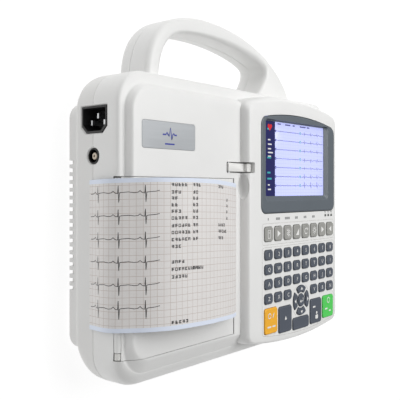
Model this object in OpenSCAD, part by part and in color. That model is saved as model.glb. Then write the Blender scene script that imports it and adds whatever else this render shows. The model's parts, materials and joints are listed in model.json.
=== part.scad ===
// Portable six-channel ECG recorder: a shallow plastic case with a carrying handle,
// a sprung keypad, a colour screen and a thermal printer under a hinged door.
// It lies flat on its feet. X runs to the user's right, Y towards the handle, Z up.
// Places inside the case are measured from its left face, its front face and the table.

/* [Case] */
// Width of the case, left face to right face
body_w = 295; // [290:1:360]
// Depth of the case, front face to rear face
body_d = 235; // [230:1:285]
// Thickness of the case's walls
wall = 2.5; // [2:0.1:3]
// Height of the rubber feet
foot_h = 3; // [2:0.5:5]
// Height of the raised block under the case
base_h = 10; // [8:0.5:14]
// Height of the lower shell, from the base block to the parting line
lower_h = 20.5; // [20:0.5:26]
// Height of the shoulder above the parting line
shoulder_h = 27; // [27:0.5:34]
// Rise from the shoulder to the plateau with the printer door
plateau_rise = 7; // [5:0.5:9]
// Rise from the plateau to the island with the screen and the keys
island_rise = 8; // [6:0.5:10]
// Corner radius of the case on the printer side
corner_r = 26; // [18:1:32]
// Corner radius of the case on the keypad side
right_corner_r = 16; // [10:1:22]
// Distance from the left face to the foot of the island
island_from_left = 136.5; // [134:0.5:146]

/* [Handle] */
// Reach of the handle behind the case
handle_reach = 55; // [45:1:70]
// Height of the handle's upper half above the parting line
handle_up = 20; // [14:1:24]
// Depth of the handle's lower half below the parting line
handle_down = 13; // [10:1:18]
// Distance from the left face to the handle
handle_from_left = 37; // [34:1:45]
// Width of the handle, foot to foot
handle_w = 204; // [180:1:215]
// Width of the grip
grip_w = 15; // [12:0.5:18]

/* [Printer] */
// Width of the chart paper
paper_w = 110; // [100:1:112]
// Radius of the full paper roll
roll_r = 21; // [15:0.5:22]
// Radius of the roll's cardboard core
core_r = 6.2; // [5:0.1:8]
// Thickness of the printed strip
strip_t = 0.4; // [0.3:0.1:0.6]
// Height of the strip's arch above the plateau
strip_arch = 23; // [15:1:26]
// How far the hanging end of the strip stands off the left face
strip_out = 4; // [3:0.5:6]
// Length of the printer door, front seam to rear seam
door_len = 132; // [130:1:140]
// Distance from the front face to the door's front seam
door_from_front = 23.8; // [22:0.1:26]
// Distance from the left face to the free edge of the door
door_w = 126.6; // [126:0.1:130]
// Radius of the platen roller
platen_r = 5; // [4:0.1:5.2]
// Radius of the door's hinge barrel
barrel_r = 3; // [2.6:0.1:3.2]

/* [Keypad] */
// Distance between key columns
key_pitch_x = 15.9; // [15:0.1:16.1]
// Distance between rows of letter keys
key_pitch_y = 13.1; // [12:0.1:13.5]
// Width of a letter key
letter_w = 12.6; // [11:0.1:13]
// Depth of a letter key
letter_d = 8.8; // [8:0.1:10]
// Width and depth of a function key
function_key = 13; // [11:0.1:13.2]
// How far a key stands above the island
key_stand = 1.2; // [0.8:0.1:2]
// Travel of a key
key_travel = 1; // [0.6:0.1:1.2]
// Gap between a key and its hole
key_gap = 0.4; // [0.3:0.05:0.6]

/* [Screen] */
// Width of the grey screen frame
bezel_w = 132; // [128:1:134]
// Depth of the grey screen frame at its left edge
bezel_d = 91; // [88:1:94]
// Width of the visible screen
screen_w = 104; // [96:1:106]
// Depth of the visible screen
screen_d = 72; // [64:1:74]
// Length of the nameplate
nameplate_w = 59.5; // [50:0.5:70]
// Depth of the nameplate
nameplate_d = 20.5; // [16:0.5:26]

/* [Left side] */
// Width of the mains inlet's recess, along the case's height
inlet_h = 24.6; // [24:0.1:26]
// Depth of the mains inlet's recess, along the case's depth
inlet_w = 17; // [16.5:0.1:18]
// Radius of the equipotential pin
earth_pin_r = 3; // [2.5:0.1:3.5]
// Distance between cooling slots
vent_pitch = 6; // [5:0.5:8]
// Width of a cooling slot
vent_w = 3; // [2:0.1:3.5]
// Number of cooling slots on each side
vent_count = 17; // [8:1:17]

/* [Hidden] */

$fn = 48;
eps = 0.01;
seam_gap = 0.4;      // gap round the door and round parts let into the case
fit = 0.05;          // radial clearance of a pin or shaft in its bore
clear = 0.3;         // clearance between parts that must not touch
thin = 0.02;         // thickness of the slices that a rounded hull is spanned from
pcb_t = 1.6;

// Heights above the table
base_z = foot_h;
shell_z = base_z + base_h;
seam_z = shell_z + lower_h;
shoulder_z = seam_z + shoulder_h;
plateau_z = shoulder_z + plateau_rise;
island_z = plateau_z + island_rise;

// The box round the whole object is centred on the origin
left_x = (strip_out - body_w) / 2;
front_y = -(body_d + handle_reach) / 2;

// Base block, set in from the case
base_in_x = 2;
base_front = 24;
base_rear = body_d - 22;
base_corner_r = 12;

// Island: its front and rear edges are shallow arcs
island_mid = (island_from_left + body_w) / 2;
island_rear_arc = 340;
island_front_arc = 420;

// Door hinge, in the left wall
hinge_u = barrel_r + 0.2;
hinge_z = shoulder_z - 3.8;
door_rear = door_from_front + door_len;
slot_w = 1.6;
hinge_pin_r = 1;
hinge_pin_l = 9;
bracket_l = 4.6;
bracket_r = 2.6;
bracket_in = 0.6;    // from the door's end to its bracket
barrel_in = bracket_in + bracket_l + seam_gap;

// Paper path
roll_u = 40;
bay_wall = 2;
bay_u = 8;
bay_len_u = 101;
bay_front = 25;
bay_rear = door_rear + 2;
bay_z = shell_z + wall + 0.5;
bay_top = hinge_z - 1.5;
roll_z = bay_z + bay_wall + roll_r + 1;
strip_front = door_rear - 2.8 - paper_w;
strip_u0 = door_w + 0.85;
strip_top = plateau_z + strip_arch;
spindle_r = core_r - clear;
journal_r = 3;

// Print mechanism, right of the bay
gear_module = 0.6;
platen_teeth = 16;
idler_teeth = 24;
pinion_teeth = 12;
gear_t = 3.6;
gear_play = 0.12;
platen_u = door_w - platen_r - 1.1;
platen_z = plateau_z - wall - platen_r - 0.7;
idler_z = platen_z - gear_module * (platen_teeth + idler_teeth) / 2 - gear_play;
pinion_z = idler_z - gear_module * (idler_teeth + pinion_teeth) / 2 - gear_play;
shaft_r = 1.5;
platen_ear_t = 1.6;
gear_front = strip_front - 6.5;
platen_ear_front = gear_front - 3;
platen_ear_rear = strip_front + paper_w + 0.8;
frame_front = strip_front - 2.4;
frame_rear = door_rear - 2;
frame_t = 1.4;
head_u = platen_u + platen_r + 0.9;
head_t = 3;
motor_shaft_r = 1;
motor_r = 10;
motor_l = 16;

// Keypad, laid out from the first function key
keys_left = 168.2;
function_row = 106.7;
letter_row = 88.1;
hole_r = 1.2;
flange = 0.8;
flange_t = 1.6;
key_top = island_z + key_stand;
key_foot = island_z - wall - 3.4;
board_top = key_foot - key_travel - 0.3;
big_key_front = 14.2;
big_key_arc = 400;
arrow_mid = [keys_left + 55.6, 41];
arrow_out = 14.1;
arrow_in = 7.9;
enter_r = 6;
arrow_flange = 0.5;

// Screen
bezel_left = 157.2;
bezel_front = 125.3;
bezel_t = 3;
bezel_proud = 0.4;
bezel_arc = 340;
bezel_mid = bezel_left + bezel_w * 0.46;
screen_left = bezel_left + 9.3;
screen_front = bezel_front + 13;

// Nameplate
nameplate_left = 16.8;
nameplate_front = 177.3;
nameplate_t = 1.2;

// Latch, behind the door's free corner
latch_left = 118.5;
latch_len = 28;
latch_front = 162;
latch_d = 7;
latch_t = 3;
latch_tip = 6;
latch_z = plateau_z - 1.6;
latch_axis_u = latch_left + 3.5;

// Left side
inlet_mid = 198.4;
inlet_depth = 16;
inlet_z = seam_z + 0.8;
earth_mid = 171.4;
earth_recess_r = 5.8;
earth_depth = 12;
vent_first = 70;

// Right side
patient_mid = 150;
patient_z = seam_z + 10;
network_mid = 196;

// Fastening: each screw's post has a place, a foot and a top
post_r = 4;
screw_r = 1.3;
screw_head_z = seam_z - 9;
posts = [
    [16, 16, shell_z + 2.2, shoulder_z - 2],
    [16, body_d - 16, shell_z + 2.2, shoulder_z - 2],
    [134, 20, shell_z + 2.2, plateau_z - 5],
    [134, body_d - 17, shell_z + 2.2, plateau_z - 2],
    [body_w - 6.2, 34, base_z + 1, seam_z + 18],
    [body_w - 6.2, 178.5, base_z + 1, seam_z + 18]
];
feet = [[20, 40], [body_w - 20, 40], [20, base_rear - 16], [body_w - 20, base_rear - 16]];
foot_r = 7;
battery_left = 152;
battery_front = 44;
battery_w = 98;
battery_d = 66;
battery_h = 17;

// Boards and speaker
main_z = base_z + wall + 21;
main_left = 140;
main_w = body_w - 155;
main_posts = [[main_left + 6, 32], [main_left + main_w - 6, 32],
    [main_left + 6, base_rear - 15], [main_left + main_w - 6, base_rear - 15]];
power_z = base_z + wall + 7;
power_posts = [[22, 168], [112, 168], [22, base_rear - 8], [112, base_rear - 8]];
keypad_board_left = 150.5;
keypad_board_w = body_w - wall - 1.7 - keypad_board_left;
keypad_board_front = 8.35 + wall + sag(keypad_board_left + keypad_board_w - island_mid, island_front_arc);
keypad_board_d = 117.5 - keypad_board_front;
keypad_posts = [[keypad_board_left + 3, 22], [keypad_board_left + 3, 112], [body_w - 5.8, 36], [body_w - 5.8, 112]];
speaker_u = 262;
speaker_w = 176;

// Places a piece: u from the left face, w from the front face, z from the table
module at(u, w, z) translate([left_x + u, front_y + w, z]) children();

// Box by its corner nearest the front left, in the case's measures
module block(u, w, z, size) at(u, w, z) cube(size);

// Rounded rectangle, exact: two bars and four discs
module rounded(w, d, r) {
    translate([r, 0]) square([w - 2 * r, d]);
    translate([0, r]) square([w, d - 2 * r]);
    for (x = [r, w - r], y = [r, d - r]) translate([x, y]) circle(r);
}

module rounded_block(u, w, z, size, r) at(u, w, z) linear_extrude(size[2]) rounded(size[0], size[1], r);

// A cylinder lying along X or along Y
module rod_x(u, w, z, r, l) at(u, w, z) rotate([0, 90, 0]) cylinder(r = r, h = l);
module rod_y(u, w, z, r, l) at(u, w, z) rotate([-90, 0, 0]) cylinder(r = r, h = l);

// One thin slice of the case: insets from the left, right, front and rear faces
module case_slice(z, l, r, f, b) {
    cl = corner_r - min(l, corner_r - 2);
    cr = right_corner_r - min(r, right_corner_r - 2);
    for (y = [f + cl, body_d - b - cl]) at(l + cl, y, z) cylinder(r = cl, h = thin, $fn = 32);
    for (y = [f + cr, body_d - b - cr]) at(body_w - r - cr, y, z) cylinder(r = cr, h = thin, $fn = 32);
}

// Upper shell up to its shoulder. The front falls away in a palm slope.
module shoulder_body(t) hull() {
    case_slice(seam_z - eps - (t > 0 ? 1 : 0), t, t, t, t);
    case_slice(seam_z + 0.44 * shoulder_h, t, t, t, t);
    case_slice(shoulder_z - 7 - t / 2, t, t, t + 1.7, t);
    case_slice(shoulder_z - 3 - t, t, t, t + 5.5, t);
    case_slice(shoulder_z - 0.8 - t, t + 1.1, t + 1.1, t + 8.8, t + 1.1);
    case_slice(shoulder_z - t - thin, t + 3.6, t + 3.6, t + 11, t + 3.6);
}

// Plateau that carries the printer door, inside the shoulder
module plateau_body(t) hull() {
    case_slice(shoulder_z - 4 - t, t + 6, t + 30, t + 10.5, t + 9.5);
    case_slice(shoulder_z + 0.5 - t, t + 6.2, t + 30, t + 11.5, t + 9.8);
    case_slice(shoulder_z + 3 - t, t + 6.8, t + 30, t + 15.4, t + 11.4);
    case_slice(plateau_z - 1.2 - t, t + 7.6, t + 30, t + 19.6, t + 13);
    case_slice(plateau_z - t - thin, t + 10, t + 30, t + 23, t + 15.4);
}

function sag(x, radius) = radius - sqrt(radius * radius - x * x);

// One thin slice of the island: insets from its left foot, the right face, and its two arcs
module island_slice(z, l, r, f, b) {
    c = 7;
    u0 = island_from_left + l + c;
    u1 = body_w - r - c;
    for (i = [0 : 8]) {
        u = u0 + (u1 - u0) * i / 8;
        at(u, f + sag(u - island_mid, island_front_arc) + c, z) cylinder(r = c, h = thin, $fn = 24);
        at(u, body_d - b - sag(u - island_mid, island_rear_arc) - c, z) cylinder(r = c, h = thin, $fn = 24);
    }
}

// Island that carries the screen and the keys
module island_body(t) hull() {
    island_slice(shoulder_z - 6 - t, t, t + 0.3, t + 3.5, t + 0.3);
    island_slice(shoulder_z - t, t, t + 0.4, t + 5, t + 0.8);
    island_slice(plateau_z + 0.4 * island_rise - t, t + 1.2, t + 0.6, t + 6, t + 3.6);
    island_slice(island_z - 1.6 - t, t + 2.6, t + 0.9, t + 6.8, t + 5.6);
    island_slice(island_z - t - thin, t + 5.4, t + 2.6, t + 8.6, t + 8);
}

module upper_body(t) {
    shoulder_body(t);
    plateau_body(t);
    island_body(t);
}

// Lower shell, rounded more at its front than at its sides
module lower_body(t) hull() {
    case_slice(seam_z - thin + (t > 0 ? 1 : 0), t, t, t, t);
    case_slice(seam_z - 9, t, t, t + 0.6, t);
    case_slice(shell_z + 4 + t, t, t, t + 5, t + 1);
    case_slice(shell_z + 1 + t, t + 0.6, t + 0.6, t + 11, t + 4);
    case_slice(shell_z + t, t + 2, t + 2, t + 15, t + 8);
}

module base_block(t) rounded_block(base_in_x + t, base_front + t, base_z + t,
    [body_w - 2 * base_in_x - 2 * t, base_rear - base_front - 2 * t, base_h + (t > 0 ? wall + 1 : 1)],
    base_corner_r - t);

// Points on a cubic curve with four control points
function bezier(a, b, c, d, n) = [for (i = [0 : n]) let (t = i / n, s = 1 - t)
    s * s * s * a + 3 * s * s * t * b + 3 * s * t * t * c + t * t * t * d];

// Handle outline, from its left foot over the top to its right foot.
// Its shape is drawn 204 wide and 55 high with a grip 15 wide, and fitted to the handle's own size.
handle_scale = handle_w / 204;
handle_outer = concat([[0, -6]],
    bezier([0, -1.8], [0.1, 31], [19, 55], [73, 55], 12),
    bezier([73, 55], [133, 55], [185, 35], [204, -1.8], 16), [[204, -6]]);
handle_inner = concat([[15, -6]],
    bezier([15, -2], [15.4, 26], [28, 38], [51, 39.6], 10),
    bezier([51, 39.6], [88, 43.6], [131, 37.6], [155, 29], 10),
    bezier([155, 29], [166, 24.6], [162, 17], [145, -2], 8), [[142, -6]]);

module handle_outline(in) intersection() {
    offset(delta = -in) difference() {
        polygon([for (p = handle_outer) [p[0] * handle_scale, p[1] * handle_reach / 55]]);
        polygon([for (p = handle_inner)
            [(p[0] - 15) * handle_scale + grip_w, p[1] * (handle_reach - grip_w) / 40]]);
    }
    translate([-5, -1.8]) square([handle_w + 10, handle_reach + 5]);
}

// Half of the handle away from the parting line, with softened edges: steps of height, thickness and inset
handle_steps = [[3.2, 1.4, 0.5], [1.8, 1.1, 1.4], [0.7, 0.7, 2.6]];
module handle_half(height) at(handle_from_left, body_d, seam_z) mirror([0, 0, height < 0 ? 1 : 0]) {
    linear_extrude(abs(height) - handle_steps[0][0]) handle_outline(0);
    for (s = handle_steps) translate([0, 0, abs(height) - s[0]]) linear_extrude(s[1]) handle_outline(s[2]);
}

// A post, or the hole down a post
module post(p, z0, z1, r) at(p[0], p[1], z0) cylinder(r = r, h = z1 - z0, $fn = 20);

module upper_case() color("#eceae4") difference() {
    union() {
        difference() {
            upper_body(0);
            upper_body(wall);
            at(-5, -5, seam_z - 5) cube([body_w + 10, body_d + 10, 5]);
        }
        handle_half(handle_up);
        for (p = posts) post(p, seam_z, p[3], post_r);
        for (p = keypad_posts) post(p, board_top + 0.1, island_z - wall + 0.5, 1.8);
        latch_well();
    }
    door_opening();
    latch_pocket();
    finger_scoop();
    keypad_holes();
    screen_pocket();
    status_rods(1.4, 2);
    rounded_block(nameplate_left - 0.2, nameplate_front - 0.2, plateau_z - 0.8,
        [nameplate_w + 0.4, nameplate_d + 0.4, 5], 2);
    side_recesses(seam_gap / 2);
    for (p = posts) post(p, seam_z - 1, seam_z + 12, screw_r + 0.1);
}

// The space that the door and its barrel take out of the upper case
module door_opening() {
    block(-1, door_from_front - seam_gap, hinge_z, [door_w + slot_w + 1, door_len + 2 * seam_gap, 30]);
    rod_y(hinge_u, door_from_front - seam_gap, hinge_z, barrel_r + seam_gap, door_len + 2 * seam_gap);
}

module latch_pocket() {
    rounded_block(latch_left - 1, latch_front - 1.2, latch_z - 3, [latch_len + 2, latch_d + 2.4, 30], 1);
}

// Solid material under the latch and behind the finger scoop
module latch_well() {
    well_front = latch_front - 27;
    well_d = latch_d + 29.5;
    block(latch_left - 2.5, latch_front - 2.7, latch_z - 4.5, [30, latch_d + 5.4, 5.6]);
    block(island_from_left - 4, well_front, latch_z - 4.5, [6, well_d, 5.6]);
    block(island_from_left + 3, well_front, latch_z - 4.5, [latch_left + latch_len + 2.5 - island_from_left - 3, well_d,
        island_z - 2 - latch_z + 4.5]);
}

module finger_scoop() at(island_from_left + 1, latch_front - 13, plateau_z + 3)
    scale([0.55, 1, 0.45]) sphere(r = 11, $fn = 24);

module keypad_holes() {
    for (i = [0 : 7]) key_hole(function_place(i), [function_key, function_key]);
    for (r = [0 : 3], i = letter_columns(r)) key_hole(letter_place(r, i), [letter_w, letter_d]);
    for (k = [0 : 4]) at(0, 0, island_z - wall - 2) linear_extrude(wall + 4) arrow_shape(k, key_gap, 24);
    for (k = [0 : 4]) key_hole(big_place(k), big_size(k));
}

// Hole for a key, given by its centre and its size
module key_hole(c, s) hull() for (x = [-1, 1], y = [-1, 1])
    at(c[0] + x * (s[0] / 2 + key_gap - hole_r), c[1] + y * (s[1] / 2 + key_gap - hole_r), island_z - wall - 2)
        cylinder(r = hole_r, h = wall + 4, $fn = 8);

// Key places, from the left face and the front face
function function_place(i) = [keys_left + i * key_pitch_x, function_row];
function letter_place(r, i) = [keys_left + i * key_pitch_x, letter_row - r * key_pitch_y];
function letter_columns(r) = r < 3 ? [0 : 7] : [0, 1, 2, 5, 6, 7];
function big_left(k) = keys_left + [-6.6, 16.4, 40.4, 72.2, 96.4][k];
function big_w(k) = [20.2, 21.6, 29, 21.4, 21.2][k];
function big_rear(k) = [40.4, 39, 25.2, 39, 39.4][k];
function big_front(k) = big_key_front + sag(big_left(k) + big_w(k) / 2 - island_mid - 8, big_key_arc);
function big_place(k) = [big_left(k) + big_w(k) / 2, (big_front(k) + big_rear(k)) / 2];
function big_size(k) = [big_w(k), big_rear(k) - big_front(k)];

// Arrow cluster: four sectors of a ring round a disc
module arrow_shape(k, grow, sides) translate(arrow_mid)
    if (k == 2) circle(r = enter_r + grow, $fn = sides);
    else rotate([90, 180, 0, 0, -90][k]) intersection() {
        difference() {
            circle(r = arrow_out + grow, $fn = 2 * sides);
            circle(r = arrow_in - grow, $fn = sides);
        }
        translate([-grow / sin(37), 0]) polygon([[0, 0], [30 * cos(37), -30 * sin(37)], [30 * cos(37), 30 * sin(37)]]);
    }

// Outline of the grey frame round the screen: its rear edge is a shallow arc
module bezel_shape(in) intersection() {
    translate([in, in]) rounded(bezel_w - 2 * in, bezel_d - 2 * in, 7 - in / 2);
    translate([bezel_mid - bezel_left, bezel_d - bezel_arc - 0.2]) circle(r = bezel_arc - in, $fn = 180);
}

module screen_pocket() {
    at(bezel_left - 0.2, bezel_front - 0.2, island_z + bezel_proud - bezel_t - 0.2)
        scale([(bezel_w + 0.4) / bezel_w, (bezel_w + 0.4) / bezel_w, 1]) linear_extrude(9) bezel_shape(0);
    block(bezel_left + 4, bezel_front + 4, island_z - 12, [bezel_w - 8, bezel_d - 14, 14]);
    block(screen_left - 3 - clear, screen_front - 3 - clear, island_z - 12,
        [screen_w + 6 + 2 * clear, screen_d + 6 + 2 * clear, 12 + bezel_proud - bezel_t - 0.1]);
}

// Recesses in the side walls, shared by both shells
module side_recesses(gap) {
    inlet_cutout(gap);
    rod_x(-1, earth_mid, seam_z, earth_recess_r + gap, wall + 4);
    block(body_w - wall - 1, patient_mid - 17, patient_z - 6.6, [wall + 2, 34, 13.2]);
    block(body_w - wall - 1, network_mid - 8.4, patient_z - 6.6, [wall + 2, 16.8, 13.6]);
}

// Outline of the mains inlet, seen from the left: two front corners are cut off
module inlet_outline(grow) {
    h = inlet_h / 2 + grow;
    w = inlet_w / 2 + grow;
    cut = 5;
    polygon([[-w, -h + cut], [-w, h - cut], [-w + cut, h], [w, h], [w, -h], [-w + cut, -h]]);
}

module inlet_cutout(gap) at(-1, inlet_mid, inlet_z) rotate([90, 0, 90])
    linear_extrude(wall + 3) inlet_outline(1.6 + gap);

module lower_case() color("#e4e2dc") difference() {
    union() {
        difference() {
            union() {
                lower_body(0);
                base_block(0);
            }
            lower_body(wall);
            base_block(wall);
            at(-5, -5, seam_z) cube([body_w + 10, body_d + 10, 5]);
        }
        handle_half(-handle_down);
        for (p = posts) post(p, p[2], seam_z, post_r);
        for (p = main_posts) post(p, base_z + 1, main_z - 0.1, 3);
        for (p = power_posts) post(p, base_z + 1, power_z - 0.1, 3);
    }
    for (p = posts) {
        post(p, p[2] - 5, screw_head_z, post_r - 1.2);
        post(p, p[2] - 5, seam_z + 4, screw_r + 0.4);
    }
    side_recesses(seam_gap / 2);
    for (i = [0 : vent_count - 1]) {
        vent(-1, vent_first + i * vent_pitch);
        vent(body_w - 6, vent_first + i * vent_pitch);
    }
    block(battery_left - 3 - clear, battery_front - 3 - clear, base_z - 1,
        [battery_w + 6 + 2 * clear, battery_d + 6 + 2 * clear, wall + 2]);
    for (a = [0 : 60 : 300]) at(speaker_u + 8 * cos(a), speaker_w + 8 * sin(a), base_z - 1)
        cylinder(r = 1.6, h = wall + 2, $fn = 16);
}

// Cooling slot through a side of the base block, with a round top
module vent(u, w) hull() {
    block(u, w, base_z - 1, [7, vent_w, 1]);
    rod_x(u, w + vent_w / 2, shell_z - 5, vent_w / 2 - eps, 7, $fn = 12);
}

module battery_cover() color("#dcdad4") {
    rounded_block(battery_left - 3, battery_front - 3, base_z,
        [battery_w + 6, battery_d + 6, wall - 0.6], 1);
    rounded_block(battery_left - 6, battery_front - 6, base_z + wall + 0.05,
        [battery_w + 12, battery_d + 12, 1.2], 1);
    rounded_block(battery_left - 3, battery_front - 3, base_z + wall - 0.7,
        [battery_w + 6, battery_d + 6, 0.8], 1);
}

module rubber_feet() color("#3a3a3c") for (p = feet) at(p[0], p[1], 0) {
    cylinder(r1 = foot_r - 0.6, r2 = foot_r, h = foot_h * 0.4);
    translate([0, 0, foot_h * 0.4]) cylinder(r = foot_r, h = foot_h * 0.6);
}

module case_screws() color("#8d9094") for (p = posts) {
    post(p, screw_head_z - 2.4, screw_head_z - 0.05, post_r - 1.5);
    post(p, screw_head_z - 0.1, seam_z + 11, screw_r);
}

// Hinge brackets: a knuckle round the pin, on a foot that is glued to the left wall's inside
module door_hinge_brackets() color("#c9c7c0")
    for (w = [door_from_front + bracket_in, door_rear - bracket_in - bracket_l]) difference() {
        union() {
            rod_y(hinge_u, w, hinge_z, bracket_r, bracket_l);
            block(wall + 0.5, w, hinge_z - 10, [3.2, bracket_l, 9]);
        }
        rod_y(hinge_u, w - 1, hinge_z, hinge_pin_r + fit, bracket_l + 2);
    }

module door_hinge_pins() color("#b9bcc0")
    for (w = [door_from_front + bracket_in + 0.2, door_rear - bracket_in - 0.2 - hinge_pin_l])
        rod_y(hinge_u, w, hinge_z, hinge_pin_r, hinge_pin_l);

// The door is the part of the upper shell over the paper bay, with a hinge barrel
// along its left edge and two ears that hold the platen roller
module printer_door() color("#eceae4") difference() {
    union() {
        difference() {
            intersection() {
                union() {
                    shoulder_body(0);
                    plateau_body(0);
                }
                block(-1, door_from_front, hinge_z, [door_w + 1, door_len, 40]);
            }
            shoulder_body(wall);
            plateau_body(wall);
            rod_y(hinge_u, door_from_front - 1, hinge_z, barrel_r, door_len + 2);
            block(-1, door_from_front - 1, hinge_z - 1, [hinge_u + 1, door_len + 2, 10]);
        }
        rod_y(hinge_u, door_from_front + barrel_in, hinge_z, barrel_r, door_len - 2 * barrel_in);
        for (w = [platen_ear_front, platen_ear_rear]) platen_ear(w);
    }
    door_hinge_pins();
}

module platen_ear(w) difference() {
    block(platen_u - 4, w, platen_z - 3.6, [8, platen_ear_t, plateau_z - wall - platen_z + 4.2]);
    rod_y(platen_u, w - 1, platen_z, shaft_r + fit, platen_ear_t + 2);
}

module platen_roller() color("#2e2f31") {
    rod_y(platen_u, platen_ear_front - 0.6, platen_z, shaft_r, platen_ear_rear + platen_ear_t + 0.2 - platen_ear_front + 0.6);
    rod_y(platen_u, strip_front + 0.4, platen_z, platen_r, paper_w - 0.4);
}

// Spur gear outline with straight-sided teeth, a tooth centred on the first axis
function gear_outline(teeth, phase) = let (r = gear_module * teeth / 2, step = 360 / teeth)
    [for (i = [0 : teeth - 1], k = [[-0.27, -1.2], [-0.11, 0.85], [0.11, 0.85], [0.27, -1.2]])
        let (a = phase + (i + k[0]) * step, q = r + k[1] * gear_module) [q * cos(a), q * sin(a)]];

// Gear across the Y axis; its outline's second axis points down
module gear(u, z, teeth, phase, bore) at(u, gear_front, z) rotate([-90, 0, 0]) difference() {
    linear_extrude(gear_t) polygon(gear_outline(teeth, phase));
    translate([0, 0, -1]) cylinder(r = bore, h = gear_t + 2);
}

module platen_gear() color("#e8e6df") gear(platen_u, platen_z, platen_teeth, 90, shaft_r);
module idler_gear() color("#e8e6df") gear(platen_u, idler_z, idler_teeth, -90 + 180 / idler_teeth, shaft_r + fit);
module motor_pinion() color("#c8a951") gear(platen_u, pinion_z, pinion_teeth,
    -90, motor_shaft_r + fit);

module stepper_motor() color("#9a9da1") {
    rod_y(platen_u, frame_front + frame_t, pinion_z, motor_r, motor_l);
    rod_y(platen_u, gear_front, pinion_z, motor_shaft_r, frame_front + frame_t - gear_front + 1);
}

// Pressed-steel frame: two cheeks, a floor, and the idler's stub axle
module printer_frame() color("#b4b8bc") difference() {
    union() {
        for (w = [frame_front, frame_rear - frame_t])
            block(platen_u - 7, w, bay_z, [18.6, frame_t, idler_z + 3 - bay_z]);
        block(platen_u - 7, frame_front, bay_z, [18.6, frame_rear - frame_front, frame_t]);
        block(head_u + head_t + 1.2, frame_front, bay_z, [1.2, frame_rear - frame_front, idler_z + 8 - bay_z]);
        rod_y(platen_u, gear_front - 0.4, idler_z, shaft_r, frame_front - gear_front + 0.5);
    }
    rod_y(platen_u, frame_front - 1, pinion_z, 1.4, frame_t + 2);
}

module print_head() color("#4a4d52") {
    block(head_u, strip_front, idler_z + 4, [head_t, paper_w - 1, platen_z - idler_z - 2]);
}

// Leaf springs that press the head on the paper
module head_spring() color("#c3c6ca") for (w = [strip_front + 20, strip_front + paper_w - 30])
    block(head_u + head_t + 0.3, w, idler_z + 5, [0.6, 10, 3]);

module paper_bay() color("#d9d7d0") difference() {
    block(bay_u, bay_front, bay_z, [bay_len_u, bay_rear - bay_front, bay_top - bay_z]);
    block(bay_u + bay_wall, bay_front + bay_wall, bay_z + bay_wall,
        [bay_len_u - 2 * bay_wall, bay_rear - bay_front - 2 * bay_wall, 60]);
    block(roll_u - journal_r - clear, bay_front - 1, roll_z, [2 * (journal_r + clear), bay_rear - bay_front + 2, 60]);
    rod_y(roll_u, bay_front - 1, roll_z, journal_r + clear, bay_rear - bay_front + 2);
}

module paper_roll() color("#f1e7df") difference() {
    rod_y(roll_u, strip_front, roll_z, roll_r, paper_w);
    rod_y(roll_u, strip_front - 1, roll_z, core_r, paper_w + 2);
}

module roll_spindle() color("#3c3f44") {
    rod_y(roll_u, bay_front + bay_wall + 0.6, roll_z, spindle_r, bay_rear - bay_front - 2 * bay_wall - 1.2);
    rod_y(roll_u, bay_front + 0.2, roll_z, journal_r, bay_rear - bay_front - 0.4);
}

// Path of the printed strip, from the slot over the door to the left face
function strip_path() = concat(
    bezier([strip_u0 - 0.4, plateau_z - 4], [strip_u0, plateau_z], [strip_u0, strip_top - 9], [72, strip_top - 0.5], 14),
    bezier([66, strip_top - 0.2], [38, strip_top + 1], [20, strip_top - 6], [7.5, shoulder_z + 10], 10));
function strip_end_path() =
    bezier([strip_t - strip_out, hinge_z - 7], [strip_t - strip_out, hinge_z - 14],
        [-2, seam_z + 6], [-0.5, seam_z - 3], 6);

// A band of the strip's thickness along a path, to the left of its direction
module strip_along(path) at(0, strip_front + paper_w, 0) rotate([90, 0, 0]) linear_extrude(paper_w)
    polygon(concat(path, [for (i = [len(path) - 1 : -1 : 0]) path[i] + strip_t * across(path, i)]));
function across(path, i) = let (a = path[max(i - 1, 0)], b = path[min(i + 1, len(path) - 1)],
    d = (b - a) / norm(b - a)) [d[1], -d[0]];

module printed_strip() color("#f3dcd6") strip_along(strip_path());
module strip_end() color("#f3dcd6") strip_along(strip_end_path());

module door_latch() color("#d6d4cd") difference() {
    union() {
        rounded_block(latch_left, latch_front, latch_z, [latch_len, latch_d, latch_t], 1);
        rounded_block(latch_left + latch_len - latch_tip, latch_front, latch_z, [latch_tip, latch_d, latch_t + 3.2], 1);
        rod_y(latch_axis_u, latch_front, latch_z, 2.6, latch_d);
    }
    rod_y(latch_axis_u, latch_front - 1, latch_z, 1 + fit, latch_d + 2);
}

module latch_pin() color("#b9bcc0") rod_y(latch_axis_u, latch_front - 1.1, latch_z, 1, latch_d + 2.2);

module screen_frame() color("#6b7379") difference() {
    at(bezel_left, bezel_front, island_z + bezel_proud - bezel_t) linear_extrude(bezel_t) bezel_shape(0);
    block(screen_left, screen_front, island_z - 5, [screen_w, screen_d, 9]);
}

module screen_window() color("#9aa8c8") block(screen_left - 3, screen_front - 3,
    island_z + bezel_proud - bezel_t - 1.3, [screen_w + 6, screen_d + 6, 1.2]);

module screen_module() color("#3b3f45") block(screen_left - 4, screen_front - 5,
    island_z + bezel_proud - bezel_t - 8, [screen_w + 8, screen_d + 10, 6.4]);

module nameplate() color("#b2b8bb") rounded_block(nameplate_left, nameplate_front, plateau_z - 0.75,
    [nameplate_w, nameplate_d, nameplate_t - 0.3], 2);

module status_lights() color("#9fb0a0") status_rods(1.2, 1.3);
module status_rods(r, above) for (i = [0 : 2])
    at(bezel_left + bezel_w - 18 + i * 6, bezel_front - 4.6, island_z - wall - 0.5) cylinder(r = r, h = wall + above, $fn = 24);

module mains_inlet() color("#26272a") difference() {
    at(0.2, inlet_mid, inlet_z) rotate([90, 0, 90]) linear_extrude(inlet_depth + 5) inlet_outline(1.4);
    at(-1, inlet_mid, inlet_z) rotate([90, 0, 90]) linear_extrude(inlet_depth + 1) inlet_outline(0);
}

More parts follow.
